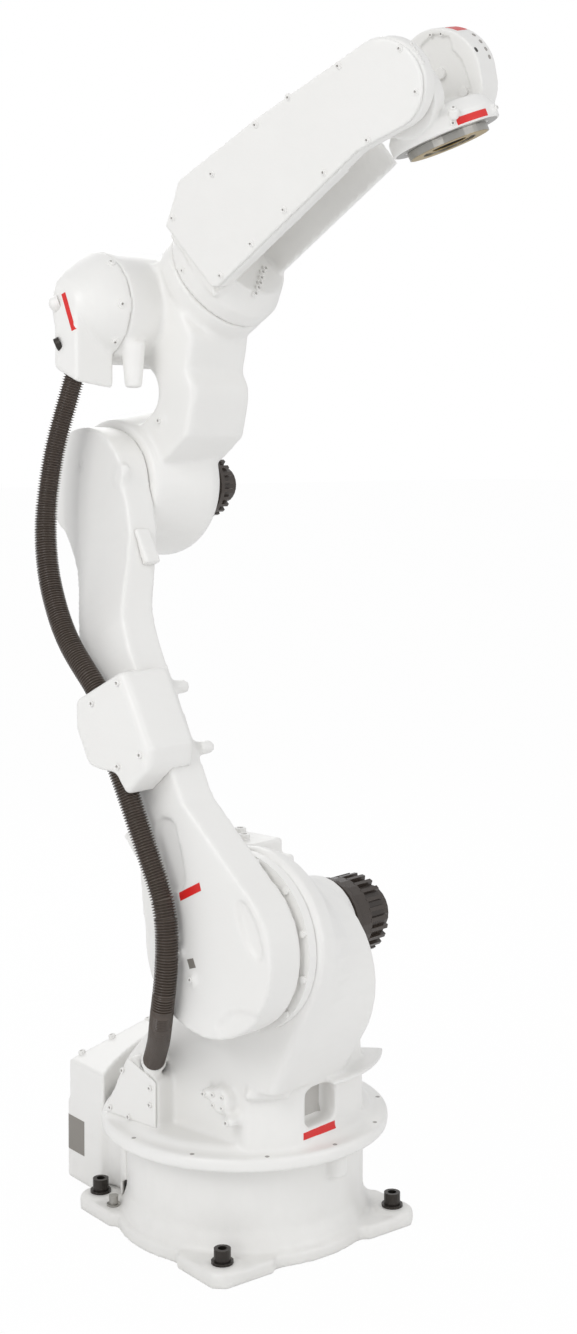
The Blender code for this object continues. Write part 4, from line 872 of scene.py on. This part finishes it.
# For a screw of radius 1: the rings of its head, the sides, the hexagon rings
HEADS = {
    "cap": lathe("cap_head", [(1, -0.4), (1, 0.75), (0.9, 0.85), (0.52, 0.85), (0.50, 0.35)],
                 12, (3, 4)),
    "pad": lathe("pad", [(1, -0.3), (1, 0.16), (0.93, 0.22)], 16),
    # A well is a dark hexagon of painted shade inside a cap head's socket
    "well": lathe("well", [(0.47, 0.3), (0.47, 0.40)], 12, (0, 1)),
    # A hole is a flat dark disc, painted shade in place of an opening
    "hole": lathe("hole", [(1, -0.4), (1, 0.03), (0.9, 0.05)], 14),
    "plug": lathe("plug", [(1, -0.5), (1, 0.24), (0.90, 0.34), (0.55, 0.38)], 24),
    "boss": lathe("boss", [(1.15, -0.3), (1.0, 0.15), (1.0, 0.66), (0.90, 0.74)], 24),
    "dome": lathe("dome", [(1, -0.6), (1, 0.05), (0.94, 0.32), (0.78, 0.56), (0.50, 0.74),
                           (0.18, 0.82)], 24),
}
PROTOTYPES = {name: bpy.data.objects.new(name + "_prototype", mesh)
              for name, mesh in HEADS.items()}
print("head shapes:", list(HEADS))

# %% [markdown]
# A ray cast back onto the finished skins finds where each head touches, so
# that none floats and none is buried. All the heads of one kind on one body
# become one piece.

# %% Where the screws land
RAY_START = 0.03


def surfaces(body):
    """What a ray may land on: every skin and kept node that rides on the body."""
    trees = []
    for name in list(SKINS) + list(KEPT):
        piece = SKINS.get(name) or NODES[name]
        if body in body_of(piece):
            trees.append(BVHTree.FromObject(piece, bpy.context.evaluated_depsgraph_get()))
    return trees


def landed(trees, axes, point, facing):
    """The nearest surface below a point, looking back along the way it faces."""
    out = (axes.to_3x3() @ Vector(facing)).normalized()
    source = axes @ Vector(point) + out * RAY_START
    hits = [tree.ray_cast(source, -out, 2 * RAY_START) for tree in trees]
    hits = [(hit[3], hit[0]) for hit in hits if hit[0] is not None]
    if not hits:
        print("no surface below", point)
        return axes @ Vector(point), out
    return min(hits, key=lambda hit: hit[0])[1], out


def set_screws(name, body, head, finish, rows, size=1.0):
    """One piece that puts a head on every row of a table of screws."""
    trees = surfaces(body)
    places, facings, spans = [], [], []
    for x, y, z, facing, radius in rows:
        place, out = landed(trees, AXES[body], (x, y, z), facing)
        places.append(place)
        facings.extend(out)
        spans.append(radius)
    mesh = bpy.data.meshes.new(name + "_points")
    mesh.from_pydata(places, [], [])
    mesh.attributes.new("facing", "FLOAT_VECTOR", "POINT").data.foreach_set("vector", facings)
    mesh.attributes.new("span", "FLOAT", "POINT").data.foreach_set("value", spans)
    points = new_piece(name + "_points", mesh)
    setter = points.modifiers.new("screws", "NODES")
    setter.node_group = SCREW_SET
    set_inputs(setter, Head=PROTOTYPES[head], Size=size, Material=FINISH[finish])
    piece = baked_piece(name, points, finish)
    return place_piece(piece, body)


print("surfaces on the tool:", len(surfaces("tool")))

# %% [markdown]
# The tables give each screw's place from the axes of its joint, so the ray only has to find the depth. A
# dark grey hexagon of painted shade goes into every head's socket.

# %% Tables of screws
NEAR, UP, AHEAD, BACK = (0, -1, 0), (0, 0, 1), (1, 0, 0), (-1, 0, 0)
# Each screw's x, y and z from the joint's axes, the way it faces and its radius
COVER_SCREWS = [(x, -0.124, z, NEAR, 0.0034) for x, z in (
    (0.850, 0.020), (0.831, -0.041), (0.726, -0.042), (0.638, -0.031), (0.547, -0.029),
    (0.466, -0.031), (0.388, -0.033), (0.758, 0.066), (0.663, 0.087), (0.592, 0.094),
    (0.481, 0.090), (0.377, 0.086))]
COVER_SCREWS.append((0.316, -0.095, 0.024, (0, -0.98, 0.2), 0.0034))
RIM_SCREWS = [(0.861, y, z, AHEAD, 0.0024) for y, z in (
    (-0.105, 0.018), (-0.110, 0.009), (-0.110, 0.001), (-0.112, -0.007), (-0.111, -0.015))]
ROOT_SCREWS = [(0.369, y, z, AHEAD, 0.0052) for y, z in (
    (0.006, -0.040), (-0.007, -0.049), (-0.019, -0.057), (-0.031, -0.064),
    (-0.042, -0.070), (0.019, -0.035))]
WRIST_SCREWS = [
    (0.066, -0.068, 0.062, (-0.6, -0.5, 0.6), 0.0038),
    (0.084, -0.066, 0.052, (0, -0.75, 0.66), 0.0034), (0.082, 0.010, 0.086, UP, 0.0034),
    (-0.060, 0.047, 0.013, NEAR, 0.0030), (-0.054, 0.047, 0.030, NEAR, 0.0030)]
DOME_SCREWS = [
    (-0.037, 0.084, 0.059, (-0.56, 0, 0.83), 0.0034),
    (-0.024, 0.084, 0.065, (-0.32, 0, 0.95), 0.0034),
    (-0.011, 0.084, 0.069, (-0.2, 0, 0.98), 0.0034),
    (0.002, 0.084, 0.070, (0.07, 0, 1), 0.0034)]
ELBOW_SCREWS = [
    (0.251, -0.171, 0.254, (0.83, -0.44, 0.35), 0.0042),
    (0.240, -0.178, 0.182, (0.78, -0.27, -0.57), 0.0042),
    (0.194, -0.174, 0.143, (0.21, -0.39, -0.9), 0.0042), (0.140, -0.090, 0.031, NEAR, 0.0040)]
SWIVEL_SCREWS = [(x, -0.190, z, NEAR, 0.0042) for x, z in (
    (-0.084, 0.264), (-0.022, 0.250), (-0.022, 0.224), (-0.070, 0.194), (-0.112, 0.199))]
SWIVEL_SCREWS += [(x, -0.171, z, NEAR, 0.0034) for x, z in (
    (0.094, 0.262), (0.113, 0.262), (0.094, 0.246), (0.113, 0.246))]
SWIVEL_SCREWS += [(0.128, -0.176, 0.229, NEAR, 0.0044), (0.080, -0.176, 0.262, NEAR, 0.0040)]
STOP_BOLTS = [(0.056, -0.070, 0.639, UP, 0.0095), (0.092, -0.100, 0.639, UP, 0.0095)]
BOX_SCREWS = [(-0.292, y, z, (-0.14, -0.25, 0.96), 0.0062) for y, z in (
    (-0.126, 0.213), (-0.068, 0.235), (0.004, 0.257), (0.070, 0.240))]
BOX_SCREWS += [(-0.306, y, z, BACK, 0.0050) for y in (-0.128, 0.100) for z in (0.020, 0.128)]
HOOD_SCREWS = [(x, -0.298, z, NEAR, 0.0044) for x, z in (
    (0.000, 0.396), (0.066, 0.402), (0.062, 0.290), (0.010, 0.292))]
ARM_SCREWS = [(-0.043, -0.250, 0.066, NEAR, 0.0050), (-0.048, -0.250, 0.041, NEAR, 0.0050),
              (-0.051, -0.250, 0.016, NEAR, 0.0050), (-0.044, -0.2475, -0.028, NEAR, 0.0042)]
SCREW_ROWS = {"forearm": COVER_SCREWS + RIM_SCREWS + ROOT_SCREWS, "wrist": WRIST_SCREWS,
              "elbow": ELBOW_SCREWS, "swivel": SWIVEL_SCREWS + STOP_BOLTS,
              "base": BOX_SCREWS, "lower_arm": HOOD_SCREWS + ARM_SCREWS}
for carrier, screw_rows in SCREW_ROWS.items():
    set_screws("screw_heads_" + carrier, carrier, "cap", "smooth_paint", screw_rows)
    # Each socket gets a dark grey hexagon of painted shade
    set_screws("screw_wells_" + carrier, carrier, "well", "grey_shadow", screw_rows)
print("screws:", {name: len(rows) for name, rows in SCREW_ROWS.items()})

# %% [markdown]
# Some screws sit on raised pads, the swivel's flange has a ring of holes, and the wrist and the cable cover
# carry small bosses, a plug and a dome. They are heads of other shapes, set by the same tree. A hole is a
# flat dark disc of painted shade, not an opening.

# %% Pads, holes and bosses
PAD_SIZE = 1.7
FLANGE_CIRCLE = 0.219
set_screws("screw_pads_forearm", "forearm", "pad", "smooth_paint", COVER_SCREWS, PAD_SIZE)
set_screws("screw_pads_elbow", "elbow", "pad", "smooth_paint", ELBOW_SCREWS[:3], PAD_SIZE)
# Each flange hole is a dark grey disc of painted shade
FLANGE_HOLES = [(*on_circle(FLANGE_CIRCLE, math.radians(a)), 0.178, UP, 0.0036)
                for a in range(-68, 292, 30)]
set_screws("flange_holes", "swivel", "hole", "grey_shadow", FLANGE_HOLES)
WRIST_BOSSES = [(-0.003, 0.050, 0.004, NEAR, 0.0085), (0.036, 0.050, 0.028, NEAR, 0.0075)]
# The bosses' holes are dark grey hexagons of painted shade
BOSS_HOLES = [(x, 0.0446, z, way, radius) for x, y, z, way, radius in WRIST_BOSSES]
set_screws("wrist_bosses", "wrist", "boss", "paint", WRIST_BOSSES)
set_screws("wrist_boss_holes", "wrist", "well", "grey_shadow", BOSS_HOLES)
set_screws("dome_screws", "wrist", "pad", "grey_shadow", DOME_SCREWS)
# The dome's hole is a black disc of painted shade
set_screws("dome_hole", "wrist", "hole", "bolt_black",
           [(-0.012, 0.054, 0.069, (-0.2, 0, 0.98), 0.0042)])
set_screws("cover_plug", "elbow", "plug", "bolt_black",
           [(0.141, -0.2390, 0.172, (-0.75, -0.65, 0), 0.0105)])
set_screws("cover_dome", "elbow", "dome", "paint",
           [(0.171, -0.2385, 0.228, (-0.8, -0.6, 0.1), 0.0120)])
print("holes round the flange:", len(FLANGE_HOLES), "wrist bosses:", len(WRIST_BOSSES))

# %% [markdown]
# The tool flange shows rings of bright, golden and dark metal. Each is a thin washer laid on the face below
# it, and eight tapped holes go round the widest, each a flat black disc of painted shade.

# %% Flange rings


def washer(name, body, inner, outer, low, high, finish, steps=64):
    """A flat ring round the X axis, from one height to another."""
    work = bmesh.new()
    loops = []
    for radius, height in ((inner, low), (outer, low), (outer, high), (inner, high)):
        loops.append([work.verts.new((height, *on_circle(radius, math.tau * k / steps)))
                      for k in range(steps)])
    for here, there in zip(loops, loops[1:] + loops[:1]):
        for k in range(steps):
            j = (k + 1) % steps
            work.faces.new((here[k], here[j], there[j], there[k]))
    return place_piece(new_piece(name, closed(work, AXES[body]), finish), body)


washer("flange_face_ring", "tool", 0.0412, 0.0600, 0.1036, 0.1043, "gold_ring")
washer("flange_inner_ring", "tool", 0.0262, 0.0350, 0.1006, 0.1020, "gold_ring")
washer("housing_rim", "wrist", 0.0655, 0.0790, 0.0912, 0.0926, "steel")
# The tapped holes are black discs of painted shade
TOOL_CIRCLE = 0.0505
TOOL_HOLES = [(FLANGE_FACE, *on_circle(TOOL_CIRCLE, math.radians(a)), AHEAD, 0.0030)
              for a in range(0, 360, 45)]
set_screws("tool_holes", "tool", "hole", "bolt_black", TOOL_HOLES)
print("rings round the tool axis: 3")

# %% [markdown]
# Strips and plates are thin sheets stuck onto the paint. Each is a small grid whose every point is dropped
# onto the skin below it, so a strip on a round housing bends round it. They are left plain, with no words on
# them. One grey sheet among them is painted shade, laid at the back of the swivel's window where its inside
# is dark.

# %% Strips and plates
STICKER_CELLS = (16, 4)
STICKER_PROUD = 0.0004
STICKER_DEPTH = 0.001


def sticker(name, body, corners, facing, finish):
    """A thin closed sheet between four corners, dropped onto the surface below."""
    trees = surfaces(body)
    a, b, c, d = [Vector(corner) for corner in corners]
    cells = STICKER_CELLS
    top, bottom = [], []
    for j in range(cells[1] + 1):
        for i in range(cells[0] + 1):
            u, v = i / cells[0], j / cells[1]
            point = (a * (1 - u) + b * u) * (1 - v) + (d * (1 - u) + c * u) * v
            place, out = landed(trees, AXES[body], point, facing)
            top.append(place + out * STICKER_PROUD)
            bottom.append(place - out * STICKER_DEPTH)
    wide, tall = cells[0] + 1, cells[1] + 1
    count = wide * tall
    faces = []
    for j in range(cells[1]):
        for i in range(cells[0]):
            k = j * wide + i
            quad = (k, k + 1, k + 1 + wide, k + wide)
            faces += [quad, tuple(n + count for n in reversed(quad))]
    edge = list(range(wide)) + [j * wide + wide - 1 for j in range(1, tall)]
    edge += [count - 1 - i for i in range(1, wide)] + [j * wide for j in range(tall - 2, 0, -1)]
    for k, m in zip(edge, edge[1:] + edge[:1]):
        faces.append((m, k, k + count, m + count))
    mesh = bpy.data.meshes.new(name)
    mesh.from_pydata(top + bottom, [], faces)
    work = bmesh.new()
    work.from_mesh(mesh)
    bmesh.ops.recalc_face_normals(work, faces=work.faces)
    work.to_mesh(mesh)
    work.free()
    return place_piece(new_piece(name, mesh, finish), body)


# Each one's body, its four corners, the way it faces and its finish
STRIPS = {
    "strip_lower_arm": (
        "lower_arm", ((-0.012, -0.244, 0.094), (0.036, -0.244, 0.094),
                      (0.034, -0.244, 0.082), (-0.014, -0.244, 0.082)), NEAR, "red_strip"),
    "tag_lower_arm": (
        "lower_arm", ((-0.041, -0.244, 0.001), (-0.028, -0.244, -0.001),
                      (-0.029, -0.244, -0.015), (-0.042, -0.244, -0.013)), NEAR, "grey_plate"),
    "strip_cable_cover": (
        "elbow", ((0.190, -0.239, 0.232), (0.199, -0.239, 0.230),
                  (0.188, -0.239, 0.168), (0.179, -0.239, 0.170)), NEAR, "red_strip"),
    "strip_swivel": (
        "swivel", ((0.192, -0.074, 0.2010), (0.192, -0.002, 0.2010),
                   (0.192, -0.002, 0.1900), (0.192, -0.074, 0.1900)), AHEAD, "red_strip"),
    "strip_wrist": (
        "wrist", ((0.079, -0.061, 0.056), (0.079, -0.013, 0.081),
                  (0.0895, -0.013, 0.081), (0.0895, -0.061, 0.056)),
        (0, -0.46, 0.89), "red_strip"),
    "strip_wrist_top": (
        "wrist", ((-0.064, 0.060, 0.034), (-0.064, 0.092, 0.034),
                  (-0.052, 0.092, 0.050), (-0.052, 0.060, 0.050)),
        (-0.78, 0, 0.62), "red_strip"),
    "plate_wrist": (
        "wrist", ((0.062, -0.052, 0.062), (0.062, -0.036, 0.074),
                  (0.075, -0.036, 0.074), (0.075, -0.052, 0.062)),
        (-0.2, -0.55, 0.8), "smooth_paint"),
    # A grey sheet of painted shade at the back of the swivel's window, where its inside is dark
    "window_floor": (
        "swivel", ((0.170, -0.0635, 0.263), (0.170, -0.0065, 0.263),
                   (0.170, -0.0065, 0.211), (0.170, -0.0635, 0.211)), AHEAD, "window_painted_shade"),
    "name_plate": (
        "base", ((-0.303, -0.150, 0.113), (-0.247, -0.150, 0.113),
                 (-0.247, -0.150, 0.055), (-0.303, -0.150, 0.055)), NEAR, "grey_plate"),
}
for strip, strip_values in STRIPS.items():
    sticker(strip, *strip_values)
print("strips:", list(STRIPS))
